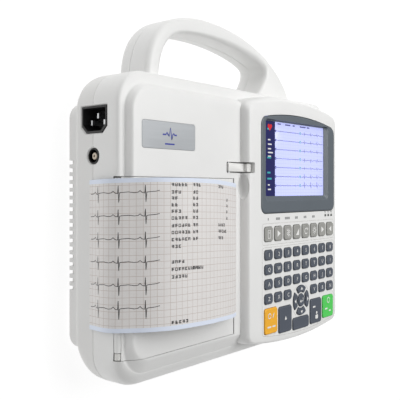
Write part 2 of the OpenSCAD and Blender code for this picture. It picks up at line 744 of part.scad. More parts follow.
module inlet_pins() color("#d0d2d4") {
    for (p = [[-2, 7], [-2, -7], [3, 0]]) block(4, inlet_mid + p[0] - 2, inlet_z + p[1] - 1, [inlet_depth - 4, 4, 2]);
}

module earth_terminal() {
    color("#2b2c2f") difference() {
        rod_x(0.2, earth_mid, seam_z, earth_recess_r, earth_depth);
        rod_x(-1, earth_mid, seam_z, earth_recess_r - 0.9, earth_depth);
    }
    color("#d2c9b0") rod_x(1.2, earth_mid, seam_z, earth_pin_r, earth_depth - 1.1);
}

module patient_socket() color("#4c5057") difference() {
    union() {
        block(body_w - wall - 1.2, patient_mid - 19.6, patient_z - 8, [1, 39.2, 16]);
        block(body_w - wall - 0.3, patient_mid - 16.6, patient_z - 6.2, [wall, 33.2, 12.4]);
        block(body_w - wall - 11, patient_mid - 15, patient_z - 5, [10, 30, 10]);
    }
    for (i = [0 : 7]) rod_x(body_w - 4, patient_mid - 9.6 + i * 2.74, patient_z + 1.4, 0.6, 6);
    for (i = [0 : 6]) rod_x(body_w - 4, patient_mid - 8.2 + i * 2.74, patient_z - 1.4, 0.6, 6);
}

module network_socket() color("#9fa3a8") difference() {
    block(body_w - wall - 16, network_mid - 8.1, patient_z - 6.4, [wall + 15.8, 16.2, 13.2]);
    block(body_w - wall - 12, network_mid - 5.9, patient_z - 4.2, [wall + 14, 11.8, 8.6]);
}

module main_board() color("#1f6b45") block(main_left, base_front + 4, main_z, [main_w, base_rear - base_front - 12, pcb_t]);
module keypad_board() color("#1f6b45") block(keypad_board_left, keypad_board_front, board_top - pcb_t,
    [keypad_board_w, keypad_board_d, pcb_t]);

module power_board() {
    color("#27613f") block(16, 163, power_z, [102, base_rear - 166, pcb_t]);
    color("#3a3d42") block(40, 168, power_z + pcb_t - eps, [34, 28, 20]);
}

module battery_pack() color("#3f6fa8") rounded_block(battery_left, battery_front, base_z + wall + 1.4,
    [battery_w, battery_d, battery_h], 3);

module speaker() color("#303236") {
    at(speaker_u, speaker_w, base_z + wall + 0.1) cylinder(r = 15, h = 3);
    at(speaker_u, speaker_w, base_z + wall + 3) cylinder(r1 = 12, r2 = 7, h = 6);
}

// A key: a cap through its hole, with a flange under the island's skin
module key(c, s, tint) color(tint) {
    rounded_block(c[0] - s[0] / 2 + 0.4, c[1] - s[1] / 2 + 0.4, key_top - 0.5, [s[0] - 0.8, s[1] - 0.8, 0.5], 1);
    rounded_block(c[0] - s[0] / 2, c[1] - s[1] / 2, key_foot + flange_t - eps,
        [s[0], s[1], key_top - 0.5 - key_foot - flange_t + 2 * eps], 1);
    rounded_block(c[0] - s[0] / 2 - flange, c[1] - s[1] / 2 - flange, key_foot,
        [s[0] + 2 * flange, s[1] + 2 * flange, flange_t], 1);
}

module function_key_at(i) key(function_place(i), [function_key, function_key], "#a9aaa4");
module letter_row_at(r) for (i = letter_columns(r)) key(letter_place(r, i), [letter_w, letter_d], "#5a6070");
module arrow_key_at(k) color("#5a6070") {
    at(0, 0, key_foot) linear_extrude(flange_t) arrow_shape(k, arrow_flange, 48);
    at(0, 0, key_foot + flange_t - eps) linear_extrude(key_top - key_foot - flange_t + eps) arrow_shape(k, 0, 48);
}
module big_key_at(k) key(big_place(k), big_size(k), ["#d8b648", "#5a6070", "#5a6070", "#8e959c", "#4f9a5c"][k]);

upper_case();
lower_case();
battery_cover();
rubber_feet();
case_screws();
printer_door();
door_hinge_pins();
door_hinge_brackets();
door_latch();
latch_pin();
paper_bay();
paper_roll();
roll_spindle();
printed_strip();
strip_end();
platen_roller();
platen_gear();
idler_gear();
motor_pinion();
stepper_motor();
printer_frame();
print_head();
head_spring();
screen_frame();
screen_window();
screen_module();
nameplate();
status_lights();
mains_inlet();
inlet_pins();
earth_terminal();
patient_socket();
network_socket();
main_board();
keypad_board();
power_board();
battery_pack();
speaker();
function_key_at(0);  // function_key_1
function_key_at(1);  // function_key_2
function_key_at(2);  // function_key_3
function_key_at(3);  // function_key_4
function_key_at(4);  // function_key_5
function_key_at(5);  // function_key_6
function_key_at(6);  // function_key_7
function_key_at(7);  // function_key_8
letter_row_at(0);  // letter_row_1
letter_row_at(1);  // letter_row_2
letter_row_at(2);  // letter_row_3
letter_row_at(3);  // letter_row_4
arrow_key_at(0);  // arrow_up_key
arrow_key_at(1);  // arrow_left_key
arrow_key_at(2);  // enter_key
arrow_key_at(3);  // arrow_right_key
arrow_key_at(4);  // arrow_down_key
big_key_at(0);  // cancel_key
big_key_at(1);  // shift_key
big_key_at(2);  // space_key
big_key_at(3);  // copy_key
big_key_at(4);  // start_key
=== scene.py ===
import json
import math

import bpy
import numpy as np
from bpy.props import FloatProperty, FloatVectorProperty, PointerProperty
from mathutils import Matrix, Vector


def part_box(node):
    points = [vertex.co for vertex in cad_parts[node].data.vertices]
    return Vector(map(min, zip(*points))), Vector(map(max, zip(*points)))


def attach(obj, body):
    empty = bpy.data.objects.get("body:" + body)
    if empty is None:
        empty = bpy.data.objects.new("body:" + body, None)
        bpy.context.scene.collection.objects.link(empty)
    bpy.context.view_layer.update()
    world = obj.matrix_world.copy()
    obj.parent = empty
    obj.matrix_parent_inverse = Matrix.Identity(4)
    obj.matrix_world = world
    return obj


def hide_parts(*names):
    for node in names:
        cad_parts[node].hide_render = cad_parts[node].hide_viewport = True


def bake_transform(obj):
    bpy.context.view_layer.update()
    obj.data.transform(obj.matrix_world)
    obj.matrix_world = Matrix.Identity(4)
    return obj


bl_info = {
    "name": "Portable ECG recorder",
    "version": (1, 0, 0),
    "blender": (4, 5, 0),
    "location": "View3D > Sidebar > Recorder",
    "description": "Builds the finished looks of a portable ECG recorder round its packed frame",
    "category": "Add Mesh",
}

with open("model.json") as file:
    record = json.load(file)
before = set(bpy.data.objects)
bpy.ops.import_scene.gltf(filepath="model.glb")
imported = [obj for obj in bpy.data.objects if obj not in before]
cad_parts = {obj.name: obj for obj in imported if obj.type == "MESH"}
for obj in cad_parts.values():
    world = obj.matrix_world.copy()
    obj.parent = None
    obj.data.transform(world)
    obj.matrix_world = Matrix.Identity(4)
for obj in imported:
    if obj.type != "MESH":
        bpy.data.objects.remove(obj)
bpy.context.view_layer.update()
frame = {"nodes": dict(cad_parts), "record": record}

# All shapes are worked out in millimetres from the case's left face, its front face and the table
MM = 0.001
SHELL_LOW, SHELL_HIGH = (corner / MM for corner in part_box("upper_case"))
LEFT, FRONT, SEAM_Z = SHELL_LOW
CASE_W = SHELL_HIGH.x - LEFT
CASE_D = 235.0
ISLAND_Z = SHELL_HIGH.z
ISLAND_FOOT = 136.5
ISLAND_MID = (ISLAND_FOOT + CASE_W) / 2
WALL = 2.5
CORNER_LEFT, CORNER_RIGHT = 26.0, 16.0
PRINT_LIFT = 0.02  # printed marks lie this far over the surface under them


def node_box(node):
    """Lowest and highest corner of a frame node, in case millimetres."""
    low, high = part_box(node)
    shift = np.array([LEFT, FRONT, 0])
    return np.array(low) / MM - shift, np.array(high) / MM - shift


PLATEAU_Z = node_box("printer_door")[1][2]
BASE_Z = node_box("lower_case")[0][2]
SHELL_Z = BASE_Z + 10
SHOULDER_Z = SEAM_Z + 27
DOOR_LOW, DOOR_HIGH = node_box("printer_door")
HINGE_U, HINGE_Z = 3.2, SHOULDER_Z - 3.8
BARREL_R = 3.0


# ---------------------------------------------------------------- sizes and colours

class CaseSettings(bpy.types.PropertyGroup):
    shell_color: FloatVectorProperty(
        name="Shell colour", description="Colour of the moulded case", subtype="COLOR",
        default=(0.80, 0.80, 0.79), min=0, max=1)
    lower_color: FloatVectorProperty(
        name="Lower shell colour", description="Colour of the lower shell and the base", subtype="COLOR",
        default=(0.76, 0.757, 0.745), min=0, max=1)
    seam_groove: FloatProperty(
        name="Seam groove", description="Depth of the groove between the two shells, in millimetres",
        default=0.35, min=0, max=1)
    grip_rounding: FloatProperty(
        name="Grip rounding", description="Edge radius of the carrying handle, in millimetres",
        default=5.0, min=1, max=7)


class PaperSettings(bpy.types.PropertyGroup):
    paper_color: FloatVectorProperty(
        name="Paper colour", description="Colour of the chart paper between its grid lines", subtype="COLOR",
        default=(0.78, 0.765, 0.755), min=0, max=1)
    margin_color: FloatVectorProperty(
        name="Margin colour", description="Colour of the paper's plain margins", subtype="COLOR",
        default=(0.72, 0.78, 0.90), min=0, max=1)
    margin: FloatProperty(
        name="Margin", description="Width of the plain margins, in millimetres", default=3.2, min=0, max=8)
    trace_width: FloatProperty(
        name="Trace width", description="Width of a printed trace, in millimetres", default=0.45, min=0.1, max=1)


class KeySettings(bpy.types.PropertyGroup):
    light_color: FloatVectorProperty(
        name="Function key colour", description="Colour of the function keys", subtype="COLOR",
        default=(0.32, 0.32, 0.30), min=0, max=1)
    dark_color: FloatVectorProperty(
        name="Letter key colour", description="Colour of the letter keys and the arrow keys", subtype="COLOR",
        default=(0.075, 0.088, 0.115), min=0, max=1)
    amber_color: FloatVectorProperty(
        name="Cancel key colour", description="Colour of the cancel key", subtype="COLOR",
        default=(0.90, 0.44, 0.02), min=0, max=1)
    green_color: FloatVectorProperty(
        name="Start key colour", description="Colour of the start key", subtype="COLOR",
        default=(0.08, 0.62, 0.10), min=0, max=1)
    edge: FloatProperty(
        name="Key edge", description="Radius of a key's upper edge, in millimetres", default=0.8, min=0.2, max=1.2)


class ScreenSettings(bpy.types.PropertyGroup):
    bezel_color: FloatVectorProperty(
        name="Bezel colour", description="Colour of the panel round the screen", subtype="COLOR",
        default=(0.105, 0.125, 0.145), min=0, max=1)
    field_color: FloatVectorProperty(
        name="Screen colour", description="Colour of the lit screen", subtype="COLOR",
        default=(0.52, 0.56, 0.95), min=0, max=1)
    sidebar_color: FloatVectorProperty(
        name="Sidebar colour", description="Colour of the bar at the screen's left", subtype="COLOR",
        default=(0.01, 0.012, 0.11), min=0, max=1)


# ---------------------------------------------------------------- surfaces

def to_frame(points):
    """Case millimetres to metres of the frame: each point plus the case's corner, times a thousandth."""
    return (np.asarray(points, float).reshape(-1, 3) + [LEFT, FRONT, 0]) * MM


def make_object(name, points, faces, material, smooth=35.0):
    """A mesh object from points in case millimetres; edges sharper than smooth degrees stay crisp."""
    mesh = bpy.data.meshes.new(name)
    mesh.from_pydata(to_frame(points).tolist(), [], [list(map(int, f)) for f in faces])
    mesh.validate()
    mesh.materials.append(material)
    mesh.shade_smooth()
    mesh.set_sharp_from_angle(angle=math.radians(smooth))
    obj = bpy.data.objects.new(name, mesh)
    bpy.context.scene.collection.objects.link(obj)
    return obj


def place(obj, body, slot, *nodes):
    """The piece rides on a body and stands for the named nodes, which it hides; slot is not used."""
    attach(obj, body)
    if nodes:
        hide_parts(*nodes)
    return obj


def lattice(rows, columns, close=False):
    """Quads between neighbours of a grid of rows by columns; close joins the last column to the first."""
    i, j = np.meshgrid(np.arange(rows - 1), np.arange(columns if close else columns - 1), indexing="ij")
    k = (j + 1) % columns
    here, above = i * columns, (i + 1) * columns
    return np.stack([here + j, here + k, above + k, above + j], -1).reshape(-1, 4)


def loft(rings):
    """Closed solid through rings of equal count, each counterclockwise seen from the last ring, with flat ends."""
    rings = np.asarray(rings, float)
    rows, columns = rings.shape[:2]
    faces = lattice(rows, columns, close=True).tolist()
    faces.append(list(range(columns))[::-1])
    faces.append([(rows - 1) * columns + j for j in range(columns)])
    return rings.reshape(-1, 3), faces


def join(solids):
    """Several (points, faces) pairs as one pair, with each pair's faces renumbered."""
    points, faces, start = [], [], 0
    for p, f in solids:
        points.append(np.asarray(p, float).reshape(-1, 3))
        faces += [[v + start for v in face] for face in f]
        start += len(points[-1])
    return np.concatenate(points), faces


def arc(centre_u, centre_w, radius, start, end, count):
    """Points of a circle: centre plus radius times cosine and sine, from start to end degrees."""
    a = np.radians(np.linspace(start, end, count))
    return np.stack([centre_u + radius * np.cos(a), centre_w + radius * np.sin(a)], -1)


def rounded_outline(u0, u1, w0, w1, r_left, r_right=None, side=2, corner=9):
    """Rectangle with round corners, counterclockwise from its front edge: four sides joined by quarter circles."""
    rl, rr = r_left, r_left if r_right is None else r_right
    t = np.linspace(0, 1, side + 2)[1:-1, None]

    def line(a, b):
        return (1 - t) * a + t * b

    corners = [
        arc(u1 - rr, w0 + rr, rr, -90, 0, corner), arc(u1 - rr, w1 - rr, rr, 0, 90, corner),
        arc(u0 + rl, w1 - rl, rl, 90, 180, corner), arc(u0 + rl, w0 + rl, rl, 180, 270, corner),
    ]
    parts = []
    for k in range(4):
        parts += [line(corners[k - 1][-1], corners[k][0]), corners[k]]
    return np.concatenate(parts)


def bowed(outline, mid, front_radius=None, rear_radius=None):
    """An outline whose front and rear edges follow circles: shifted by the circle's sag at u, shared along w."""
    u, w = outline[:, 0], outline[:, 1]
    share = (w - w.min()) / (w.max() - w.min())
    shift = np.zeros_like(w)
    if front_radius:
        shift += (1 - share) * (front_radius - np.sqrt(front_radius ** 2 - (u - mid) ** 2))
    if rear_radius:
        shift -= share * (rear_radius - np.sqrt(rear_radius ** 2 - (u - mid) ** 2))
    return np.stack([u, w + shift], -1)


def ring(outline, z):
    """An outline at one height."""
    return np.column_stack([outline, np.full(len(outline), float(z))])


def smooth_rows(keys, steps):
    """Values between rows of keys along monotone cubics, whose slopes are harmonic means of the steps beside them."""
    keys = np.asarray(keys, float)
    d = np.diff(keys, axis=0)
    slope = np.zeros_like(keys)
    same = d[:-1] * d[1:] > 0
    with np.errstate(divide="ignore", invalid="ignore"):
        slope[1:-1] = np.where(same, 2 * d[:-1] * d[1:] / (d[:-1] + d[1:]), 0)
    slope[0], slope[-1] = d[0], d[-1]
    t = np.linspace(0, 1, steps, endpoint=False)[None, :, None]
    a, b, m, n = keys[:-1, None], keys[1:, None], slope[:-1, None], slope[1:, None]
    rows = (2 * t ** 3 - 3 * t ** 2 + 1) * a + (t ** 3 - 2 * t ** 2 + t) * m \
        + (3 * t ** 2 - 2 * t ** 3) * b + (t ** 3 - t ** 2) * n
    return np.concatenate([rows.reshape(-1, keys.shape[1]), keys[-1:]])


def prism(outline, z0, z1):
    """Closed solid between two heights over an outline."""
    return loft([ring(outline, z0), ring(outline, z1)])


def block(low, high):
    """Closed box between two corners."""
    corners = [[low[0], low[1]], [high[0], low[1]], [high[0], high[1]], [low[0], high[1]]]
    return prism(np.array(corners), low[2], high[2])


def turned(profile, centre, axis, count=40):
    """Turned solid: each (distance, radius) in the profile is a circle round the axis through centre."""
    a = np.linspace(0, 2 * np.pi, count, endpoint=False)
    rings = []
    for s, r in profile:
        c, d, e = np.full(count, float(s)), r * np.cos(a), r * np.sin(a)
        rings.append(np.stack({"x": (c, d, e), "y": (e, c, d), "z": (d, e, c)}[axis], -1) + centre)
    return loft(rings)


def across_u(outline, u0, u1):
    """Prism along u over an outline given in (w, z)."""
    o = np.asarray(outline, float)
    return loft([np.column_stack([np.full(len(o), float(u)), o]) for u in (u0, u1)])


def tapered_across_u(outlines, us):
    """Loft along u through outlines given in (w, z), one at each u."""
    return loft([np.column_stack([np.full(len(o), float(u)), o]) for o, u in zip(outlines, us)])


def bake(obj):
    """The object's mesh with its modifiers worked in."""
    bpy.context.view_layer.update()
    dg = bpy.context.evaluated_depsgraph_get()
    mesh = bpy.data.meshes.new_from_object(obj.evaluated_get(dg))
    obj.modifiers.clear()
    obj.data = mesh


def combine(obj, operation, *solids):
    """Adds solids to a piece or takes them away, one after the other."""
    for points, faces in solids:
        tool = make_object("tool", points, faces, obj.data.materials[0])
        modifier = obj.modifiers.new("combine", "BOOLEAN")
        modifier.operation = operation
        modifier.solver = "MANIFOLD"
        modifier.object = tool
        bake(obj)
        bpy.data.objects.remove(tool)


def soften(obj, width, angle=40.0, segments=2):
    """Rounds every edge sharper than angle degrees by width millimetres."""
    modifier = obj.modifiers.new("soften", "BEVEL")
    modifier.width = width * MM
    modifier.segments = segments
    modifier.limit_method = "ANGLE"
    modifier.angle_limit = math.radians(angle)
    modifier.use_clamp_overlap = True
    bake(obj)


def crisp(obj, angle=35.0):
    """Smooth shading with crisp edges above the angle."""
    obj.data.shade_smooth()
    obj.data.set_sharp_from_angle(angle=math.radians(angle))


def softened_copy(node, name, body, slot, material, width):
    """A merged copy of a frame node with softened edges, which stands for it."""
    obj = bpy.data.objects.new(name, frame["nodes"][node].data.copy())
    bpy.context.scene.collection.objects.link(obj)
    obj.data.materials.clear()
    obj.data.materials.append(material)
    weld = obj.modifiers.new("weld", "WELD")
    weld.merge_threshold = 0.002 * MM
    flat = obj.modifiers.new("flat", "DECIMATE")
    flat.decimate_type = "DISSOLVE"
    flat.angle_limit = math.radians(1.5)
    bake(obj)
    soften(obj, width)
    crisp(obj)
    return place(obj, body, slot, node)


# ---------------------------------------------------------------- materials

def new_material(name):
    """An empty node material with its Principled shader."""
    material = bpy.data.materials.new(name)
    material.use_nodes = True
    return material, material.node_tree, material.node_tree.nodes["Principled BSDF"]


def noise(tree, coordinates, scale, detail=2.0):
    node = tree.nodes.new("ShaderNodeTexNoise")
    node.inputs["Scale"].default_value = scale
    node.inputs["Detail"].default_value = detail
    tree.links.new(coordinates, node.inputs["Vector"])
    return node.outputs["Fac"]


def ramp(tree, factor, low, high, a=0.3, b=0.7):
    """Colour that runs from low to high as the factor runs from a to b."""
    node = tree.nodes.new("ShaderNodeValToRGB")
    node.color_ramp.elements[0].position, node.color_ramp.elements[1].position = a, b
    node.color_ramp.elements[0].color = (*low, 1)
    node.color_ramp.elements[1].color = (*high, 1)
    tree.links.new(factor, node.inputs["Fac"])
    return node.outputs["Color"]


def moulded(name, color, roughness=0.42, grain=1400.0, depth=0.04, mottle=0.03, metallic=0.0, stretch=None):
    """A finish from three noises: broad mottling of the colour, mid-scale roughness and a fine raised grain."""
    material, tree, shader = new_material(name)
    coordinates = tree.nodes.new("ShaderNodeTexCoord").outputs["Object"]
    if stretch:
        mapping = tree.nodes.new("ShaderNodeMapping")
        mapping.inputs["Scale"].default_value = stretch
        tree.links.new(coordinates, mapping.inputs["Vector"])
        coordinates = mapping.outputs["Vector"]
    color = np.array(color[:])
    darker, paler = color * (1 - mottle), np.minimum(color * (1 + mottle), 1)
    tree.links.new(ramp(tree, noise(tree, coordinates, 28.0, 4.0), darker, paler),
                   shader.inputs["Base Color"])
    rough = tree.nodes.new("ShaderNodeMapRange")
    rough.inputs["To Min"].default_value = roughness - 0.06
    rough.inputs["To Max"].default_value = roughness + 0.06
    tree.links.new(noise(tree, coordinates, 160.0), rough.inputs["Value"])
    tree.links.new(rough.outputs["Result"], shader.inputs["Roughness"])
    bump = tree.nodes.new("ShaderNodeBump")
    bump.inputs["Strength"].default_value = 0.5
    bump.inputs["Distance"].default_value = depth * MM
    tree.links.new(noise(tree, coordinates, grain), bump.inputs["Height"])
    tree.links.new(bump.outputs["Normal"], shader.inputs["Normal"])
    shader.inputs["Metallic"].default_value = metallic
    return material


def calc(tree, operation, a, b=None, c=None):
    """A Math node; numbers and sockets may be mixed."""
    node = tree.nodes.new("ShaderNodeMath")
    node.operation = operation
    for k, value in enumerate((a, b, c)):
        if value is None:
            continue
        if isinstance(value, (int, float)):
            node.inputs[k].default_value = value
        else:
            tree.links.new(value, node.inputs[k])
    return node.outputs[0]


def mix(tree, factor, a, b):
    """Colour b over colour a by the factor; colours may be sockets or numbers."""
    node = tree.nodes.new("ShaderNodeMix")
    node.data_type = "RGBA"
    tree.links.new(factor, node.inputs["Factor"])
    for socket, value in ((node.inputs[6], a), (node.inputs[7], b)):
        if hasattr(value, "links"):
            tree.links.new(value, socket)
        else:
            socket.default_value = (*value, 1)
    return node.outputs[2]


def lines(tree, value, pitch, width):
    """1 on lines of that width, pitch apart: where the nearest multiple is under half the width away."""
    return calc(tree, "LESS_THAN", calc(tree, "PINGPONG", value, pitch / 2), width / 2)


def chart_paper(settings, width):
    """Thermal paper: a fine and a bold grid on a pale field between plain margins, from the sheet's own UV."""
    material, tree, shader = new_material("chart_paper")
    uv = tree.nodes.new("ShaderNodeTexCoord").outputs["UV"]
    split = tree.nodes.new("ShaderNodeSeparateXYZ")
    tree.links.new(uv, split.inputs["Vector"])
    along, across = (calc(tree, "MULTIPLY", split.outputs[k], 1000.0) for k in (0, 1))
    fine = calc(tree, "MAXIMUM", lines(tree, along, 1.0, 0.14), lines(tree, across, 1.0, 0.14))
    bold = calc(tree, "MAXIMUM", lines(tree, along, 5.0, 0.36), lines(tree, across, 5.0, 0.36))
    paper = np.array(settings.paper_color[:])
    mottled = ramp(tree, noise(tree, uv, 60.0, 4.0), paper * 0.96, paper)
    field = mix(tree, calc(tree, "MULTIPLY", fine, 0.36), mottled, (0.56, 0.47, 0.42))
    field = mix(tree, calc(tree, "MULTIPLY", bold, 0.6), field, (0.42, 0.33, 0.28))
    edge = calc(tree, "MAXIMUM", calc(tree, "LESS_THAN", across, settings.margin),
                calc(tree, "GREATER_THAN", across, width - settings.margin))
    tree.links.new(mix(tree, edge, field, tuple(settings.margin_color)), shader.inputs["Base Color"])
    shader.inputs["Roughness"].default_value = 0.5
    bump = tree.nodes.new("ShaderNodeBump")
    bump.inputs["Strength"].default_value = 0.3
    bump.inputs["Distance"].default_value = 0.02 * MM
    tree.links.new(noise(tree, uv, 1800.0), bump.inputs["Height"])
    tree.links.new(bump.outputs["Normal"], shader.inputs["Normal"])
    return material


def lit_screen(settings, low, high):
    """The lit picture: a pale field with a faint grid, darker towards its rear edge, from the window's own place."""
    material, tree, shader = new_material("screen_glass")
    coordinates = tree.nodes.new("ShaderNodeTexCoord").outputs["Object"]
    split = tree.nodes.new("ShaderNodeSeparateXYZ")
    tree.links.new(coordinates, split.inputs["Vector"])
    x = calc(tree, "MULTIPLY_ADD", split.outputs["X"], 1000.0, -LEFT - low[0])
    y = calc(tree, "MULTIPLY_ADD", split.outputs["Y"], 1000.0, -FRONT - low[1])
    grid = calc(tree, "MAXIMUM", lines(tree, x, 3.0, 0.35), lines(tree, y, 3.0, 0.35))
    field = np.array(settings.field_color[:])
    base = ramp(tree, calc(tree, "DIVIDE", y, float(high[1] - low[1])), field * 1.08, field * 0.94, 0.0, 1.0)
    base = mix(tree, calc(tree, "MULTIPLY", grid, 0.5), base, tuple(field * [0.78, 0.76, 0.93]))
    tree.links.new(base, shader.inputs["Base Color"])
    tree.links.new(base, shader.inputs["Emission Color"])
    shader.inputs["Emission Strength"].default_value = 0.35
    shader.inputs["Roughness"].default_value = 0.12
    return material


class Finishes:
    """Materials by name, each made once."""

    made = {}

    @classmethod
    def get(cls, name):
        if name not in cls.made:
            cls.made[name] = cls.make(name)
        return cls.made[name]

    @staticmethod
    def make(name):
        scene = bpy.context.scene
        case, keys, screen = scene.recorder_case, scene.recorder_keys, scene.recorder_screen
        recipes = {
            "case_white": dict(color=case.shell_color, roughness=0.4, depth=0.03, mottle=0.012),
            "case_lower": dict(color=case.lower_color, roughness=0.42, depth=0.03, mottle=0.012),
            "soft_rubber": dict(color=(0.03, 0.03, 0.032), roughness=0.75, depth=0.1, mottle=0.1),
            "platen_rubber": dict(color=(0.02, 0.02, 0.021), roughness=0.55, mottle=0.1),
            "bright_steel": dict(color=(0.60, 0.61, 0.62), roughness=0.3, metallic=1.0, mottle=0.05),
            "bracket_plastic": dict(color=(0.74, 0.735, 0.71), roughness=0.5),
            "latch_plastic": dict(color=(0.78, 0.775, 0.755), roughness=0.4),
            "dark_plastic": dict(color=(0.012, 0.012, 0.013), roughness=0.35, mottle=0.1),
            "gear_plastic": dict(color=(0.78, 0.76, 0.70), roughness=0.35),
            "brass_gear": dict(color=(0.66, 0.46, 0.18), roughness=0.3, metallic=1.0),
            "motor_steel": dict(color=(0.50, 0.51, 0.53), roughness=0.35, metallic=1.0, stretch=(1, 14, 1)),
            "head_ceramic": dict(color=(0.06, 0.065, 0.075), roughness=0.2, mottle=0.08),
            "screen_frame_grey": dict(color=screen.bezel_color, roughness=0.38, depth=0.03, mottle=0.03),
            "nameplate_grey": dict(color=(0.44, 0.46, 0.48), roughness=0.35, stretch=(1, 12, 1), mottle=0.04),
            "status_lamp": dict(color=(0.16, 0.17, 0.16), roughness=0.25, mottle=0.1),
            "earth_brass": dict(color=(0.46, 0.40, 0.33), roughness=0.3, metallic=1.0),
            "circuit_board": dict(color=(0.01, 0.12, 0.05), roughness=0.35, mottle=0.25),
            "battery_wrap": dict(color=(0.03, 0.10, 0.30), roughness=0.25, mottle=0.05),
            "key_light": dict(color=keys.light_color, roughness=0.5, depth=0.03, mottle=0.03),
            "key_dark": dict(color=keys.dark_color, roughness=0.45, depth=0.03, mottle=0.04),
            "key_amber": dict(color=keys.amber_color, roughness=0.45, depth=0.03, mottle=0.03),
            "key_green": dict(color=keys.green_color, roughness=0.45, depth=0.03, mottle=0.03),
            "ink": dict(color=(0.03, 0.028, 0.03), roughness=0.6, mottle=0.2),
            "legend_white": dict(color=(0.80, 0.80, 0.78), roughness=0.5),
            "legend_grey": dict(color=(0.16, 0.165, 0.17), roughness=0.5),
            "panel_line": dict(color=(0.60, 0.595, 0.57), roughness=0.5),
            "mark_blue": dict(color=(0.015, 0.03, 0.30), roughness=0.4),
            "screen_navy": dict(color=screen.sidebar_color, roughness=0.15),
            "screen_trace": dict(color=(0.10, 0.10, 0.34), roughness=0.15),
            "screen_teal": dict(color=(0.05, 0.42, 0.45), roughness=0.15),
            "screen_red": dict(color=(0.72, 0.02, 0.03), roughness=0.15),
        }
        return moulded(name, **recipes[name])


# ---------------------------------------------------------------- case shells

# Height, then insets of the left, right, front and rear faces
CASE_KEYS = np.array([
    [SEAM_Z + 0.45, 0, 0, 0, 0],
    [SEAM_Z + 12, 0, 0, 0, 0],
    [SHOULDER_Z - 7, 0, 0, 1.7, 0],
    [SHOULDER_Z - 3.2, 0.12, 0.12, 5.3, 0.12],
    [SHOULDER_Z - 1, 0.95, 0.95, 8.5, 0.95],
    [SHOULDER_Z - 0.08, 3.0, 3.0, 10.5, 3.0],
    [SHOULDER_Z, 4.4, 6.0, 11.0, 6.4],
    [SHOULDER_Z + 0.35, 5.8, 30, 11.6, 9.3],
    [SHOULDER_Z + 3, 6.8, 30, 15.4, 11.4],
    [PLATEAU_Z - 1.3, 7.5, 30, 19.4, 12.9],
    [PLATEAU_Z - 0.25, 8.7, 30, 21.6, 14.1],
    [PLATEAU_Z, 10.4, 30, 23.6, 15.8],
])
LOWER_KEYS = np.array([
    [SHELL_Z, 2.2, 2.2, 15.2, 8.2],
    [SHELL_Z + 1, 0.65, 0.65, 10.6, 3.9],
    [SHELL_Z + 4, 0.05, 0.05, 5, 1.05],
    [SEAM_Z - 9, 0, 0, 0.6, 0],
    [SEAM_Z - 0.45, 0, 0, 0, 0],
])
# Height, then insets of the island's left foot, its right face and its two bowed edges
ISLAND_KEYS = np.array([
    [SHOULDER_Z - 2, 0.0, 0.5, 5.2, 0.9],
    [PLATEAU_Z - 1, 0.6, 0.6, 5.6, 2.6],
    [PLATEAU_Z + 3.2, 1.2, 0.7, 6.0, 3.7],
    [ISLAND_Z - 1.7, 2.6, 0.95, 6.8, 5.5],
    [ISLAND_Z - 0.35, 4.1, 1.9, 7.7, 6.8],
    [ISLAND_Z, 5.6, 3.3, 8.9, 8.2],
])


def case_ring(row, thickness):
    """Outline of the case at one height, set in by the insets and a thickness."""
    z, left, right, front, rear = row
    l, r, f, b = (v + thickness for v in (left, right, front, rear))
    rl = CORNER_LEFT - min(l, CORNER_LEFT - 2)
    rr = CORNER_RIGHT - min(r, CORNER_RIGHT - 2)
    return ring(rounded_outline(l, CASE_W - r, f, CASE_D - b, rl, rr, side=6, corner=16), z)


def island_ring(row, thickness):
    """Outline of the island at one height: a round-cornered panel with bowed front and rear edges."""
    z, left, right, front, rear = row
    l, r, f, b = (v + thickness for v in (left, right, front, rear))
    outline = rounded_outline(ISLAND_FOOT + l, CASE_W - r, f, CASE_D - b, 7, side=26, corner=9)
    return ring(bowed(outline, ISLAND_MID, 420, 340), z)


def body_solid(keys, ring_of, thickness, steps, first=None):
    """Loft through the keys; a thickness moves it inwards and down, and first moves its lowest ring."""
    rows = smooth_rows(keys, steps)
    if thickness:
        rows[:, 0] -= thickness
    if first is not None:
        rows = np.concatenate([[[first, *rows[0, 1:]]], rows])
    return loft([ring_of(row, thickness) for row in rows])


def seam_rows(keys, groove, upper):
    """Adds the groove at the parting line to the keys' lowest or highest row."""
    row = [SEAM_Z, groove, groove, groove, groove]
    return np.concatenate([[row], keys]) if upper else np.concatenate([keys, [row]])


def door_space(gap):
    """The door's box and its barrel, grown by a gap."""
    low = [-5, DOOR_LOW[1] - gap, HINGE_Z]
    high = [DOOR_HIGH[0] + (1.6 if gap else 0), DOOR_HIGH[1] + gap, HINGE_Z + 40]
    barrel = turned([(DOOR_LOW[1] - gap, BARREL_R + gap), (DOOR_HIGH[1] + gap, BARREL_R + gap)],
                    [HINGE_U, 0, HINGE_Z], "y")
    return block(low, high), barrel


def inlet_shape(grow):
    """Mains inlet seen from the left, in (w, z): a rectangle with its two front corners cut off."""
    low, high = node_box("mains_inlet")
    w0, w1 = low[1] + 1.4 - grow, high[1] - 1.4 + grow
    z0, z1 = low[2] + 1.4 - grow, high[2] - 1.4 + grow
    cut = 5.0
    return [[w1, z1], [w0 + cut, z1], [w0, z1 - cut], [w0, z0 + cut], [w0 + cut, z0], [w1, z0]]


